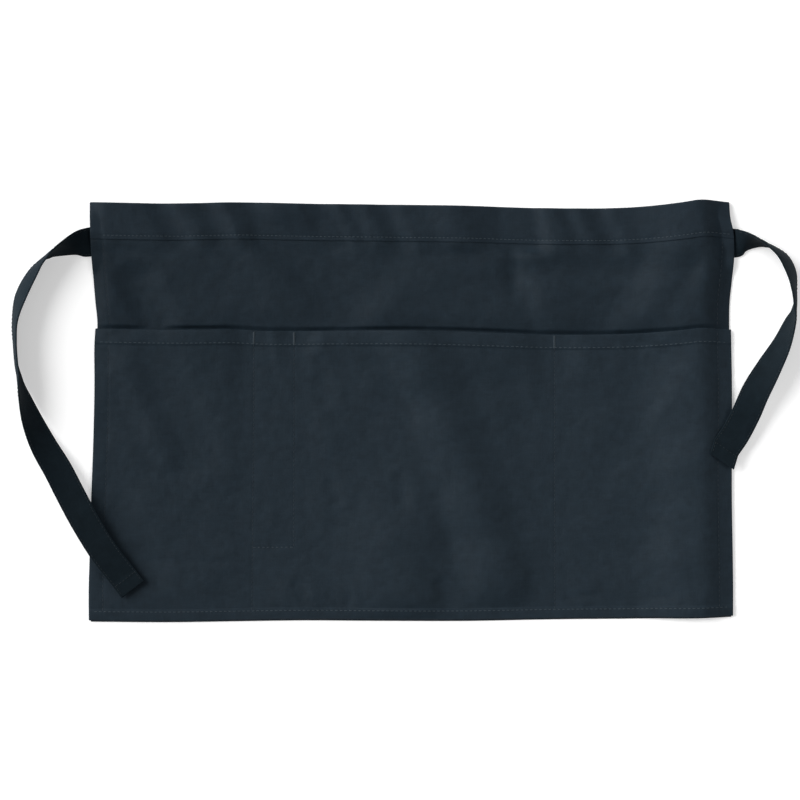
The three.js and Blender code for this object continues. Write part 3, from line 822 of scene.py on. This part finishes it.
def cloth_sheet(name, outer, inner, share, flat):
    """A closed sheet between two grids of points. Its thickness is a share of the distance
    between them, 0 on the rim, where its two faces meet."""
    middle, half = (outer + inner) / 2, (outer - inner) / 2 * share[..., None]
    columns, rows = share.shape
    top = np.arange(columns * rows).reshape(columns, rows)
    within = np.arange((columns - 2) * (rows - 2)).reshape(columns - 2, rows - 2)
    under = top.copy()
    under[1:-1, 1:-1] = top.size + within
    loops = [
        np.stack([ids[:-1, :-1], ids[1:, :-1], ids[1:, 1:], ids[:-1, 1:]], axis=-1).reshape(-1, 4)
        for ids in (top, under)
    ]
    edges_in, edges_up = np.diff(middle, axis=0)[:, :-1], np.diff(middle, axis=1)[:-1]
    outwards = np.sum(np.cross(edges_in, edges_up) * (outer - inner)[:-1, :-1])
    facing_in = 1 if outwards > 0 else 0
    loops[facing_in] = loops[facing_in][:, ::-1]
    points = [(middle + half).reshape(-1, 3), (middle - half)[1:-1, 1:-1].reshape(-1, 3)]
    places = [flat.reshape(-1, 2), flat[1:-1, 1:-1].reshape(-1, 2)]
    return make_piece(name, np.concatenate(points), np.concatenate(loops), np.concatenate(places))


def lowered(face, height):
    """The same points of the table at another height."""
    return np.stack([face[..., 0], face[..., 1], height], axis=-1)


def body_panel():
    """The back sheet: its upper face and its underside over one grid."""
    x, y = np.meshgrid(sheet_columns(), panel_rows(), indexing="ij")
    face = panel_face(x, y)
    under = lowered(face, panel_rise(x, y))
    inside = np.minimum.reduce([x, APRON_WIDTH - x, y, PANEL_TOP_UP - y])
    return cloth_sheet("body_cloth", face, under, rim(inside), np.stack([x, y], -1))


def pocket_front():
    """The front sheet, a little wider than the panel, over one grid."""
    x, y = np.meshgrid(sheet_columns(), pocket_rows(), indexing="ij")
    face = pocket_face(x, y)
    under = lowered(face, pocket_rise(x, y))
    overhang = POCKET_OVERHANG * (ramp(1 - (APRON_WIDTH - x) / SIDE_HEM) - ramp(1 - x / SIDE_HEM))
    for points in (face, under):
        points[..., 0] += overhang
    inside = np.minimum.reduce([x, APRON_WIDTH - x, y - HEM_REVEAL, MOUTH_UP - y])
    return cloth_sheet("pocket_cloth", face, under, rim(inside), np.stack([x, y], -1))


def waistband():
    """Up the front ply, half a turn round the fold and down the back ply. The two plies are as
    far from the middle of the fold as its outer and inner radius."""
    ends = [*from_edge(BAND_UP, 1), PANEL_TOP_UP, FOLD_UP]
    front = spaced([*ends, *near(BAND_ROW), BAND_UP + BAND_TURN], STEP_UP)
    back = spaced(ends, HIDDEN_STEP_UP)[::-1]
    angle = np.concatenate([0 * front, pi * np.arange(1, FOLD_STEPS) / FOLD_STEPS, pi + 0 * back])
    up = np.concatenate([front, np.full(FOLD_STEPS - 1, FOLD_UP), back])
    x, y = np.meshgrid(sheet_columns(), up, indexing="ij")
    radius = BAND_THICKNESS / 2
    table_x, table_y = on_table(x, y)
    base = panel_rise(x, np.minimum(y, PANEL_TOP_UP)) - PANEL_LIFT + radius
    plies = [
        np.stack([table_x, table_y + away * np.sin(angle), base + away * np.cos(angle)], axis=-1)
        for away in (radius, radius - CLOTH)
    ]
    on_front = np.arange(len(up)) < len(front)
    plies[0][:, on_front] = band_face(x[:, on_front], y[:, on_front])
    inside = np.minimum.reduce([x, APRON_WIDTH - x, y - BAND_UP])
    round_fold = np.concatenate([[0], np.cumsum(np.hypot(np.diff(up), radius * np.diff(angle)))])
    flat = np.stack([x, np.broadcast_to(round_fold, x.shape)], -1)
    return cloth_sheet("band_cloth", *plies, rim(inside), flat)


def spline(rows, t):
    """Catmull-Rom curve through rows of numbers at t, which counts them from 0. Each stretch is a
    cubic that leaves a row in the direction from the one before it to the one after it."""
    rows = np.vstack([2 * rows[0] - rows[1], rows, 2 * rows[-1] - rows[-2]])
    low = np.clip(t.astype(int), 0, len(rows) - 4)
    t = (t - low)[:, None]
    before, start, end, after = rows[low], rows[low + 1], rows[low + 2], rows[low + 3]
    linear = (end - before) / 2
    square = before - 2.5 * start + 2 * end - after / 2
    cube = (3 * start - before - 3 * end + after) / 2
    return start + linear * t + square * t * t + cube * t**3


class Tape:
    """One tie as lines over the length of its tape, from its sewn end to its free one. At each
    place its section is an arc, bent by curl each way, that stands on its roll and rests on
    what lies under it."""

    SAMPLES = 1500
    PITCH = 0.001
    ACROSS = 17
    SMOOTHING = 15
    LEAST_BEND = 1

    def __init__(self, route, side, reach, hem_turn):
        self.side = side
        rows = [RouteRow(-TIE_SEWN_LENGTH / reach, TIE_SEWN_UP / APRON_HEIGHT, 0, 0, 0), *route]
        out, up, *section = np.array(rows, float).T
        places = [side * (APRON_WIDTH / 2 + out * reach), (up - 0.5) * APRON_HEIGHT, *section]
        place = np.linspace(0, len(rows) - 1, self.SAMPLES)
        x, y, rolled, curled, lifted = spline(np.transpose(places), place).T
        heading = np.unwrap(np.arctan2(np.gradient(y), np.gradient(x)))
        passed = np.append(0, np.cumsum(np.hypot(np.diff(x), np.diff(y))))
        self.hem_start = passed[-1]
        self.length = passed[-1] + TAPE_HEM
        self.passed = np.linspace(0, self.length, int(self.length / self.PITCH))
        bent = np.hypot(np.maximum(curled, 0), self.LEAST_BEND)
        self.lines = {
            "x": np.interp(self.passed, passed, x),
            "y": np.interp(self.passed, passed, y),
            "heading": np.interp(self.passed, passed, heading),
            "turn": radians(1) * np.interp(self.passed, passed, np.maximum(rolled, 0)),
            "bend": radians(1) * np.interp(self.passed, passed, bent),
        }
        past = np.maximum(self.passed - self.hem_start, 0)
        self.lines["x"] += past * np.cos(heading[-1] + side * hem_turn)
        self.lines["y"] += past * np.sin(heading[-1] + side * hem_turn)
        self.lines["shift"] = 0 * self.passed
        self.lines["base"] = 0 * self.passed
        second_half = np.interp(self.passed, passed, place) > len(route) / 2
        self.settle(np.interp(self.passed, passed, lifted), second_half)

    def at(self, passed):
        """Every line at some places along the tape."""
        return {name: np.interp(passed, self.passed, line) for name, line in self.lines.items()}

    def section(self, passed, across, off_middle):
        """Points at places along the tape and across it, some way off its middle surface, and
        the direction in which that surface faces."""
        lines = {name: line[:, None] for name, line in self.at(passed).items()}
        bend, turn = lines["bend"], lines["turn"]
        angle = bend * across / (TAPE_WIDTH / 2)
        face_out = np.cos(turn) * np.sin(angle) + np.sin(turn) * np.cos(angle)
        face_up = np.sin(turn) * np.sin(angle) - np.cos(turn) * np.cos(angle)
        arc = TAPE_WIDTH / 2 / bend
        out = (arc + off_middle) * face_out - arc * np.sin(turn) - lines["shift"]
        up = (arc + off_middle) * face_up + arc * np.cos(turn) + lines["base"]
        sine, cosine = self.side * np.sin(lines["heading"]), self.side * np.cos(lines["heading"])
        points = [lines["x"] - sine * out, lines["y"] + cosine * out, up]
        return np.stack(points, -1), np.stack([-sine * face_out, cosine * face_out, face_up], -1)

    def settle(self, lifted, free):
        """Centres the section's outline over the route, and sets it down on its lowest points.
        The first half of the tape hangs as its rows say, and the free half also stays clear of
        the pocket front. The line of its lowest points is smoothed along the tape."""
        across = np.linspace(-1, 1, self.ACROSS) * TAPE_WIDTH / 2
        half = (TAPE_THICKNESS + TAPE_HEM_FOLD) / 2
        points, _ = self.section(self.passed, across, 0)
        sine, cosine = np.sin(self.lines["heading"]), np.cos(self.lines["heading"])
        from_x = points[..., 0] - self.lines["x"][:, None]
        from_y = points[..., 1] - self.lines["y"][:, None]
        out = self.side * (from_y * cosine[:, None] - from_x * sine[:, None])
        self.lines["shift"] = (out.max(axis=1) + out.min(axis=1)) / 2
        faces = [self.section(self.passed, across, off)[0] for off in (-half, half)]
        faces = np.concatenate(faces, axis=1)
        lowest = faces[..., 2].min(axis=1)
        hung = np.maximum(lifted, 0) * (2 * CLOTH + SEAM_GAP + POCKET_LOFT)
        under = front_height(faces[..., 0], faces[..., 1]).max(axis=1)
        rest = np.where(free & (under > 0), under + TIE_REST_GAP, 0)
        window = np.hanning(self.SMOOTHING)
        padded = np.pad(np.maximum(hung, rest), self.SMOOTHING // 2, "edge")
        base = np.convolve(padded, window / window.sum(), "valid")
        self.lines["base"] = np.maximum(base, rest) - lowest


def tape_thickness(tape, passed, across):
    """Folded cloth, pulled in along its edge rows, and one fold thicker in the hem."""
    hem = TAPE_HEM_FOLD * ramp((passed - tape.hem_start) / HEM_STEP)
    from_row = TAPE_WIDTH / 2 - TAPE_STITCH_IN - np.abs(across)
    return TAPE_THICKNESS + hem[:, None] - STITCH_DIP * bump(from_row / STITCH_DIP_RUN)


def tape_sheet(name, tape):
    """The tape's two faces over one grid of places along and across it. Its attribute "reverse"
    is 1 on the face that lies underneath where the tape lies flat, and 0 on the other."""
    half_width = TAPE_WIDTH / 2
    marks = [*from_edge(0, 1), tape.hem_start, tape.hem_start + HEM_STEP, *from_edge(tape.length, -1)]
    passed = spaced(marks, TAPE_STEP_ALONG)
    row = half_width - TAPE_STITCH_IN
    marks = [*from_edge(-half_width, 1), *near(-row), *near(row), *from_edge(half_width, -1)]
    across = spaced(np.clip(marks, -half_width, half_width), TAPE_STEP_ACROSS)
    half = tape_thickness(tape, passed, across) / 2
    outer, _ = tape.section(passed, across, half)
    inner, _ = tape.section(passed, across, -half)
    long, wide = np.meshgrid(passed, across, indexing="ij")
    inside = np.minimum.reduce([long, tape.length - long, half_width - np.abs(wide)])
    piece = cloth_sheet(name, outer, inner, rim(inside), np.stack([wide, long], -1))
    # The reverse face, which the material paints lighter: painted light on the arcs and the cloth's
    # lighter back
    lit_reverse = np.arange(len(piece.data.vertices)) < long.size
    reverse = piece.data.attributes.new("reverse", "FLOAT", "POINT")
    reverse.data.foreach_set("value", lit_reverse.astype(np.float32))
    return piece


def thread_piece(name, centres, normals, width):
    """Short lengths of thread, each a round section carried along its five centres. It narrows
    and dips into the cloth at both ends. Each end is closed by two faces, as its ring has six
    corners."""
    count, sections = centres.shape[:2]
    centres = centres + normals * (THREAD_RISE * width / 2)[:, None]
    along = np.gradient(centres, axis=1)
    side = np.cross(normals, along)
    side /= np.linalg.norm(side, axis=-1, keepdims=True)
    lift = np.cross(along, side)
    lift /= np.linalg.norm(lift, axis=-1, keepdims=True)
    angle = 2 * pi * np.arange(THREAD_SIDES) / THREAD_SIDES
    ring = side[:, :, None] * np.cos(angle)[:, None] + lift[:, :, None] * np.sin(angle)[:, None]
    points = centres[:, :, None] + ring * (THREAD_WIDTHS * width / 2)[:, None, None]
    ids = np.arange(sections * THREAD_SIDES).reshape(sections, THREAD_SIDES)
    turned = np.roll(ids, -1, axis=1)
    walls = np.stack([ids[:-1], turned[:-1], turned[1:], ids[1:]], axis=-1).reshape(-1, 4)
    first, last = ids[0], ids[-1]
    caps = [first[[3, 2, 1, 0]], first[[5, 4, 3, 0]], last[[0, 1, 2, 3]], last[[0, 3, 4, 5]]]
    quads = np.concatenate([walls, caps])
    quads = (quads[None] + (np.arange(count) * ids.size)[:, None, None]).reshape(-1, 4)
    length = np.linalg.norm(centres[:, -1] - centres[:, 0], axis=-1)
    along_thread = (THREAD_PLACES + 1) / 2 * length[:, None]
    flat = np.stack(np.broadcast_arrays(along_thread[..., None], angle / (2 * pi) * width), axis=-1)
    return make_piece(name, points, quads, flat)


def stitch_places(length, pitch, sizes):
    """Where the five centres of each stitch lie along a row: stitches of one length at an even
    pitch that fills the row."""
    count = max(1, int(round(length / pitch)))
    middles = (np.arange(count) + 0.5) * length / count
    return middles[:, None] + THREAD_PLACES * sizes.stitch_share * pitch / 2


def row_on_sheet(row, sizes):
    """Centres of a row's stitches on the face of its sheet, and the way up there."""
    dx, dy = row.to_x - row.from_x, row.to_y - row.from_y
    length = np.hypot(dx, dy)
    share = stitch_places(length, row.pitch, sizes) / length
    centres = FACES[row.sheet](row.from_x + dx * share, row.from_y + dy * share)
    return centres, np.broadcast_to(STRAIGHT_UP, centres.shape)


def rows_on_tape(tape, sizes):
    """Centres of the stitches along both edges of a tape and across its hem, on both faces."""
    row = TAPE_WIDTH / 2 - TAPE_STITCH_IN
    found = []
    for sign in (-1, 1):
        passed = stitch_places(tape.length - 2 * ROW_END, TAPE_PITCH, sizes) + ROW_END
        for across in (-row, row):
            off = sign * tape_thickness(tape, passed.ravel(), np.array([across])) / 2
            beside = np.full((passed.size, 1), across)
            points, faces = tape.section(passed.ravel(), beside, off)
            found.append((points.reshape(*passed.shape, 3), sign * faces.reshape(*passed.shape, 3)))
        across = stitch_places(2 * row, TAPE_PITCH, sizes) - row
        at_hem = np.full(across.size, tape.hem_start + HEM_STEP)
        off = sign * (TAPE_THICKNESS + TAPE_HEM_FOLD) / 2
        points, faces = tape.section(at_hem, across.ravel()[:, None], off)
        found.append((points.reshape(*across.shape, 3), sign * faces.reshape(*across.shape, 3)))
    return [np.concatenate(part) for part in zip(*found)]


def wire(tree, kind, inputs=None, **settings):
    """A node of a kind with its settings, and each input set to a value or joined to a socket."""
    node = tree.nodes.new(kind)
    for name, value in settings.items():
        setattr(node, name, value)
    for name, value in (inputs or {}).items():
        if isinstance(value, bpy.types.NodeSocket):
            tree.links.new(value, node.inputs[name])
        else:
            node.inputs[name].default_value = value
    return node


def maths(tree, operation, first, second=0.0):
    """The output of a Math node."""
    return wire(tree, "ShaderNodeMath", {0: first, 1: second}, operation=operation).outputs[0]


def noise(tree, place, **inputs):
    """Soft noise over a place, with little detail unless more is asked for."""
    return wire(tree, "ShaderNodeTexNoise", {"Vector": place, "Detail": 2.0, **inputs}).outputs[0]


def relief(tree, height, **inputs):
    """The normals of a height, over other normals where they are given."""
    return wire(tree, "ShaderNodeBump", {"Height": height, **inputs}).outputs[0]


def toned(tree, colour, tones, factor):
    """A colour from its darker to its lighter tone, by a factor that changes over the piece."""
    shade = wire(tree, "ShaderNodeMix", {"Factor": factor}, data_type="RGBA")
    shade.inputs[6].default_value = spread_colour(colour, tones[0])
    shade.inputs[7].default_value = spread_colour(colour, tones[1])
    return shade.outputs[2]


def weave_group():
    """Plain weave: each yarn is a row of round backs, seen where it passes over the crossing
    one, and each yarn is a little lighter or darker and thicker or thinner along its length."""
    tree = bpy.data.node_groups.new("Plain weave", "ShaderNodeTree")
    tree.interface.new_socket("Flat cloth", in_out="INPUT", socket_type="NodeSocketVector")
    tree.interface.new_socket("Yarn pitch", in_out="INPUT", socket_type="NodeSocketFloat")
    tree.interface.new_socket("Height", in_out="OUTPUT", socket_type="NodeSocketFloat")
    tree.interface.new_socket("Tone", in_out="OUTPUT", socket_type="NodeSocketFloat")
    given = tree.nodes.new("NodeGroupInput").outputs
    place = wire(tree, "ShaderNodeSeparateXYZ", {0: given["Flat cloth"]}).outputs
    warp, weft = (maths(tree, "DIVIDE", place[axis], given["Yarn pitch"]) for axis in (0, 1))
    waves = [maths(tree, "SINE", maths(tree, "MULTIPLY", yarn, pi)) for yarn in (warp, weft)]
    backs = [maths(tree, "ABSOLUTE", wave) for wave in waves]
    crossing = maths(tree, "ADD", maths(tree, "FLOOR", warp), maths(tree, "FLOOR", weft))
    over = maths(tree, "PINGPONG", crossing, 1.0)
    height = wire(tree, "ShaderNodeMix", {"Factor": over, 2: backs[0], 3: backs[1]}).outputs[0]
    slubs = []
    for stretch in ((900.0, 60.0, 1.0), (60.0, 900.0, 1.0)):
        placed = wire(tree, "ShaderNodeMapping", {"Vector": given["Flat cloth"], "Scale": stretch})
        slubs.append(noise(tree, placed.outputs[0], Scale=1.0))
    tone = wire(tree, "ShaderNodeMix", {"Factor": over, 2: slubs[0], 3: slubs[1]}).outputs[0]
    out = tree.nodes.new("NodeGroupOutput").inputs
    tree.links.new(maths(tree, "ADD", height, maths(tree, "MULTIPLY", tone, SLUB_SHARE)), out["Height"])
    tree.links.new(tone, out["Tone"])
    return tree


def new_material(name, colour, roughness):
    """An empty material with a Principled shader, and its tree."""
    material = bpy.data.materials.new(name)
    material.use_nodes = True
    material.diffuse_color = (*colour, 1.0)
    tree = material.node_tree
    shader = tree.nodes["Principled BSDF"]
    shader.inputs["Roughness"].default_value = roughness
    return material, tree, shader


def spread_colour(colour, factor):
    """A colour made lighter or darker."""
    return (*[min(1.0, part * factor) for part in colour], 1.0)


def cloth_material(name, colour, sizes, roughness=0.56, gloss=0.10):
    """Dark cotton mix: woven yarns, a faint mottling, the fine crumple of washed cloth, and a
    soft sheen. A piece with the attribute "reverse" is painted lighter where that is 1, as
    painted light on the tapes' arcs, where the reverse faces up, and the cloth's lighter back."""
    material, tree, shader = new_material(name, colour, roughness)
    flat = wire(tree, "ShaderNodeUVMap", uv_map="flat").outputs[0]
    group = bpy.data.node_groups.get("Plain weave") or weave_group()
    weave = wire(tree, "ShaderNodeGroup", node_tree=group)
    tree.links.new(flat, weave.inputs["Flat cloth"])
    weave.inputs["Yarn pitch"].default_value = sizes.yarn_pitch
    mottle = noise(tree, flat, Scale=90.0, Detail=6.0, Roughness=0.66)
    parts = [
        maths(tree, "MULTIPLY", part, share)
        for part, share in ((weave.outputs["Tone"], WEAVE_SHARE), (mottle, MOTTLE_SHARE))
    ]
    tone = maths(tree, "ADD", *parts)
    spread = wire(tree, "ShaderNodeMapRange", {"Value": tone, "From Min": 0.25, "From Max": 0.75})
    # Painted light: the reverse face of the tapes is painted lighter, for the light on their arcs and
    # the cloth's lighter back
    lit_reverse = wire(tree, "ShaderNodeAttribute", attribute_name="reverse").outputs["Fac"]
    both = wire(tree, "ShaderNodeMix", {"Factor": lit_reverse}, data_type="RGBA")
    tree.links.new(toned(tree, colour, CLOTH_TONES, spread.outputs[0]), both.inputs[6])
    both.inputs[7].default_value = spread_colour(colour, REVERSE_PAINTED_LIGHT)
    tree.links.new(both.outputs[2], shader.inputs["Base Color"])
    puckers, crumple = noise(tree, flat, Scale=30.0), noise(tree, flat, Scale=120.0)
    puckered = relief(tree, puckers, Strength=1.0, Distance=0.0012)
    creased = relief(tree, crumple, Strength=1.0, Distance=0.00025, Normal=puckered)
    woven = relief(tree, weave.outputs["Height"], Strength=0.5, Distance=0.00009, Normal=creased)
    tree.links.new(woven, shader.inputs["Normal"])
    shader.inputs["Specular IOR Level"].default_value = gloss
    shader.inputs["Sheen Weight"].default_value = 0.02
    shader.inputs["Sheen Roughness"].default_value = 0.5
    shader.inputs["Sheen Tint"].default_value = (0.80, 0.88, 1.0, 1.0)
    return material


def thread_material(name, colour):
    """Twisted sewing thread: slanting strands round it, with a painted highlight on their backs."""
    material, tree, shader = new_material(name, colour, 0.6)
    flat = wire(tree, "ShaderNodeUVMap", uv_map="flat").outputs[0]
    strands = wire(
        tree,
        "ShaderNodeTexWave",
        {"Vector": flat, "Scale": 500.0},
        wave_type="BANDS",
        bands_direction="DIAGONAL",
    ).outputs[0]
    # Painted highlight and shade: lighter on the strands' backs, darker between them, by the same waves
    # as their relief
    tree.links.new(toned(tree, colour, THREAD_TONES, strands), shader.inputs["Base Color"])
    twist = relief(tree, strands, Strength=0.5, Distance=0.00006)
    tree.links.new(twist, shader.inputs["Normal"])
    shader.inputs["Specular IOR Level"].default_value = 0.35
    return material


def floor_material(colour):
    """Plain matt floor with a very faint unevenness."""
    material, tree, shader = new_material("floor", colour, 0.9)
    place = wire(tree, "ShaderNodeTexCoord").outputs["Object"]
    shade = toned(tree, colour, FLOOR_TONES, noise(tree, place, Scale=3.0))
    tree.links.new(shade, shader.inputs["Base Color"])
    shader.inputs["Specular IOR Level"].default_value = 0.1
    shader.inputs["Emission Color"].default_value = (1.0, 1.0, 1.0, 1.0)
    shader.inputs["Emission Strength"].default_value = FLOOR_GLOW
    return material


def dress(piece, material, stands_for=None):
    """Gives a piece its material, and hides the CAD node that it stands for."""
    piece.data.materials.append(material)
    if stands_for:
        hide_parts(stands_for)
    return piece


def sew(scene, name, centres, normals):
    """A piece of stitches with its thread, which is made for the first piece that is sewn with
    it. Its tone is painted light and shade: lighter for the rows across the apron and the
    bartacks, which catch the light from above, and close to the cloth for the others."""
    others = "tape_thread" if name.startswith("tie") else "dark_thread"
    kind = "light_thread" if name in LIT_ROW_PIECES else others
    colour = tuple(getattr(scene.apron_colours, kind))
    material = bpy.data.materials.get(kind) or thread_material(kind, colour)
    dress(thread_piece(name, centres, normals, scene.apron_sizes.thread_width), material)


class APRON_OT_body_panel(bpy.types.Operator):
    """Cut and lay the body panel"""

    bl_idname = "apron.body_panel"
    bl_label = "Body panel"

    def execute(self, context):
        colours, sizes = context.scene.apron_colours, context.scene.apron_sizes
        material = cloth_material("panel_cloth", tuple(colours.panel), sizes)
        piece = dress(body_panel(), material, "body_panel")
        return {"FINISHED"}


class APRON_OT_waistband(bpy.types.Operator):
    """Fold the waistband over the top edge"""

    bl_idname = "apron.waistband"
    bl_label = "Waistband"

    def execute(self, context):
        colours, sizes = context.scene.apron_colours, context.scene.apron_sizes
        material = cloth_material("band_cloth", tuple(colours.band), sizes)
        piece = dress(waistband(), material, "waistband")
        return {"FINISHED"}


class APRON_OT_pocket_front(bpy.types.Operator):
    """Lay the pocket front over the body panel"""

    bl_idname = "apron.pocket_front"
    bl_label = "Pocket front"

    def execute(self, context):
        colours, sizes = context.scene.apron_colours, context.scene.apron_sizes
        material = cloth_material("pocket_cloth", tuple(colours.pocket), sizes)
        piece = dress(pocket_front(), material, "pocket_panel")
        return {"FINISHED"}


def both_tapes():
    """The two ties by the names of their pieces."""
    return {
        "tie_left": Tape(LEFT_ROUTE, -1, LEFT_TIE_REACH, LEFT_HEM_TURN),
        "tie_right": Tape(RIGHT_ROUTE, 1, RIGHT_TIE_REACH, RIGHT_HEM_TURN),
    }


class APRON_OT_tapes(bpy.types.Operator):
    """Lay the two tapes, curled round onto the pocket front, and stitch their edges"""

    bl_idname = "apron.tapes"
    bl_label = "Ties"

    def execute(self, context):
        colours, sizes = context.scene.apron_colours, context.scene.apron_sizes
        material = cloth_material("tie_cloth", tuple(colours.tie), sizes, roughness=0.75, gloss=0.05)
        for node, tape in both_tapes().items():
            piece = dress(tape_sheet(f"{node}_cloth", tape), material, node)
            sew(context.scene, f"{node}_stitches", *rows_on_tape(tape, sizes))
        return {"FINISHED"}


class APRON_OT_stitching(bpy.types.Operator):
    """Sew the rows of stitches on the body, the pockets and the waistband"""

    bl_idname = "apron.stitching"
    bl_label = "Stitching"

    def execute(self, context):
        sizes = context.scene.apron_sizes
        for name in dict.fromkeys(row.piece for row in STITCH_ROWS):
            rows = [row_on_sheet(row, sizes) for row in STITCH_ROWS if row.piece == name]
            centres, normals = (np.concatenate(part) for part in zip(*rows))
            sew(context.scene, name, centres, normals)
        return {"FINISHED"}


class APRON_OT_bartacks(bpy.types.Operator):
    """Sew a bartack over each divider at the pockets' mouth"""

    bl_idname = "apron.bartacks"
    bl_label = "Bartacks"

    def execute(self, context):
        sizes = context.scene.apron_sizes
        up = np.arange(MOUTH_ROW, MOUTH_UP - EDGE_ROUND, BARTACK_PITCH)
        seams = np.array([FIRST_SEAM, SECOND_SEAM, THIRD_SEAM])
        x = (seams[:, None, None] + THREAD_PLACES * BARTACK_WIDTH / 2) * np.ones((1, len(up), 1))
        y = up[:, None] + THREAD_PLACES * BARTACK_PITCH / 2 + 0 * x
        centres = pocket_face(x, y).reshape(-1, len(THREAD_PLACES), 3)
        normals = np.broadcast_to(STRAIGHT_UP, centres.shape)
        sew(context.scene, "bartacks", centres, normals)
        return {"FINISHED"}


class APRON_OT_stage(bpy.types.Operator):
    """Set the floor, the light and the camera"""

    bl_idname = "apron.stage"
    bl_label = "Stage"

    def execute(self, context):
        scene, stage = context.scene, context.scene.apron_stage
        ways = (-1, -1), (1, -1), (1, 1), (-1, 1)
        corners = [(x * FLOOR_SIZE / 2, y * FLOOR_SIZE / 2, 0) for x, y in ways]
        mesh = bpy.data.meshes.new("floor")
        mesh.from_pydata(corners, [], [(0, 1, 2, 3)])
        floor = bpy.data.objects.new("floor", mesh)
        floor.location.z = -FLOOR_GAP
        mesh.materials.append(floor_material(tuple(stage.floor)))
        scene.collection.objects.link(floor)

        world = bpy.data.worlds.new("soft sky")
        world.use_nodes = True
        world.node_tree.nodes["Background"].inputs["Strength"].default_value = stage.sky
        world.node_tree.nodes["Background"].inputs["Color"].default_value = (1.0, 1.0, 1.0, 1.0)
        scene.world = world

        key = bpy.data.lights.new("key", "SUN")
        key.energy, key.angle = stage.key_power, KEY_SPREAD
        fill = bpy.data.lights.new("fill", "AREA")
        fill.energy, fill.size = stage.fill_power, FILL_SIZE
        for light, place in ((key, KEY_PLACE), (fill, FILL_PLACE)):
            lamp = bpy.data.objects.new(light.name, light)
            lamp.location = place
            lamp.rotation_euler = (-Vector(place)).to_track_quat("-Z", "Y").to_euler()
            lamp.visible_camera = False
            scene.collection.objects.link(lamp)

        lens = bpy.data.cameras.new("from above")
        lens.lens, lens.sensor_width = stage.lens, SENSOR_WIDTH
        camera = bpy.data.objects.new("from above", lens)
        height = stage.view_width * stage.lens / SENSOR_WIDTH
        camera.location = (VIEW_CENTRE[0], VIEW_CENTRE[1], height)
        lens.clip_end = 4 * height
        scene.collection.objects.link(camera)
        scene.camera = camera
        scene.view_settings.view_transform = "Standard"
        return {"FINISHED"}


class APRON_PT_workshop(bpy.types.Panel):
    """The apron's pieces, in the order in which they are made"""

    bl_label = "Waist apron"
    bl_idname = "APRON_PT_workshop"
    bl_space_type = "VIEW_3D"
    bl_region_type = "UI"
    bl_category = "Apron"

    def draw(self, context):
        for kept_as, kind in GROUPS.items():
            box = self.layout.box()
            for name in kind.__annotations__:
                box.prop(getattr(context.scene, kept_as), name)
        for operator in OPERATORS:
            self.layout.operator(operator.bl_idname)


OPERATORS = (
    APRON_OT_body_panel,
    APRON_OT_waistband,
    APRON_OT_pocket_front,
    APRON_OT_tapes,
    APRON_OT_stitching,
    APRON_OT_bartacks,
    APRON_OT_stage,
)
GROUPS = {"apron_sizes": ApronSizes, "apron_colours": ApronColours, "apron_stage": ApronStage}


def register():
    for kind in (*GROUPS.values(), *OPERATORS, APRON_PT_workshop):
        bpy.utils.register_class(kind)
    for name, kind in GROUPS.items():
        setattr(bpy.types.Scene, name, bpy.props.PointerProperty(type=kind))


def unregister():
    for name in GROUPS:
        delattr(bpy.types.Scene, name)
    for kind in reversed((*GROUPS.values(), *OPERATORS, APRON_PT_workshop)):
        bpy.utils.unregister_class(kind)


def main():
    """Makes every piece and the stage."""
    register()
    bpy.ops.apron.body_panel()
    bpy.ops.apron.waistband()
    bpy.ops.apron.pocket_front()
    bpy.ops.apron.tapes()
    bpy.ops.apron.stitching()
    bpy.ops.apron.bartacks()
    bpy.ops.apron.stage()


if __name__ == "__main__":
    main()
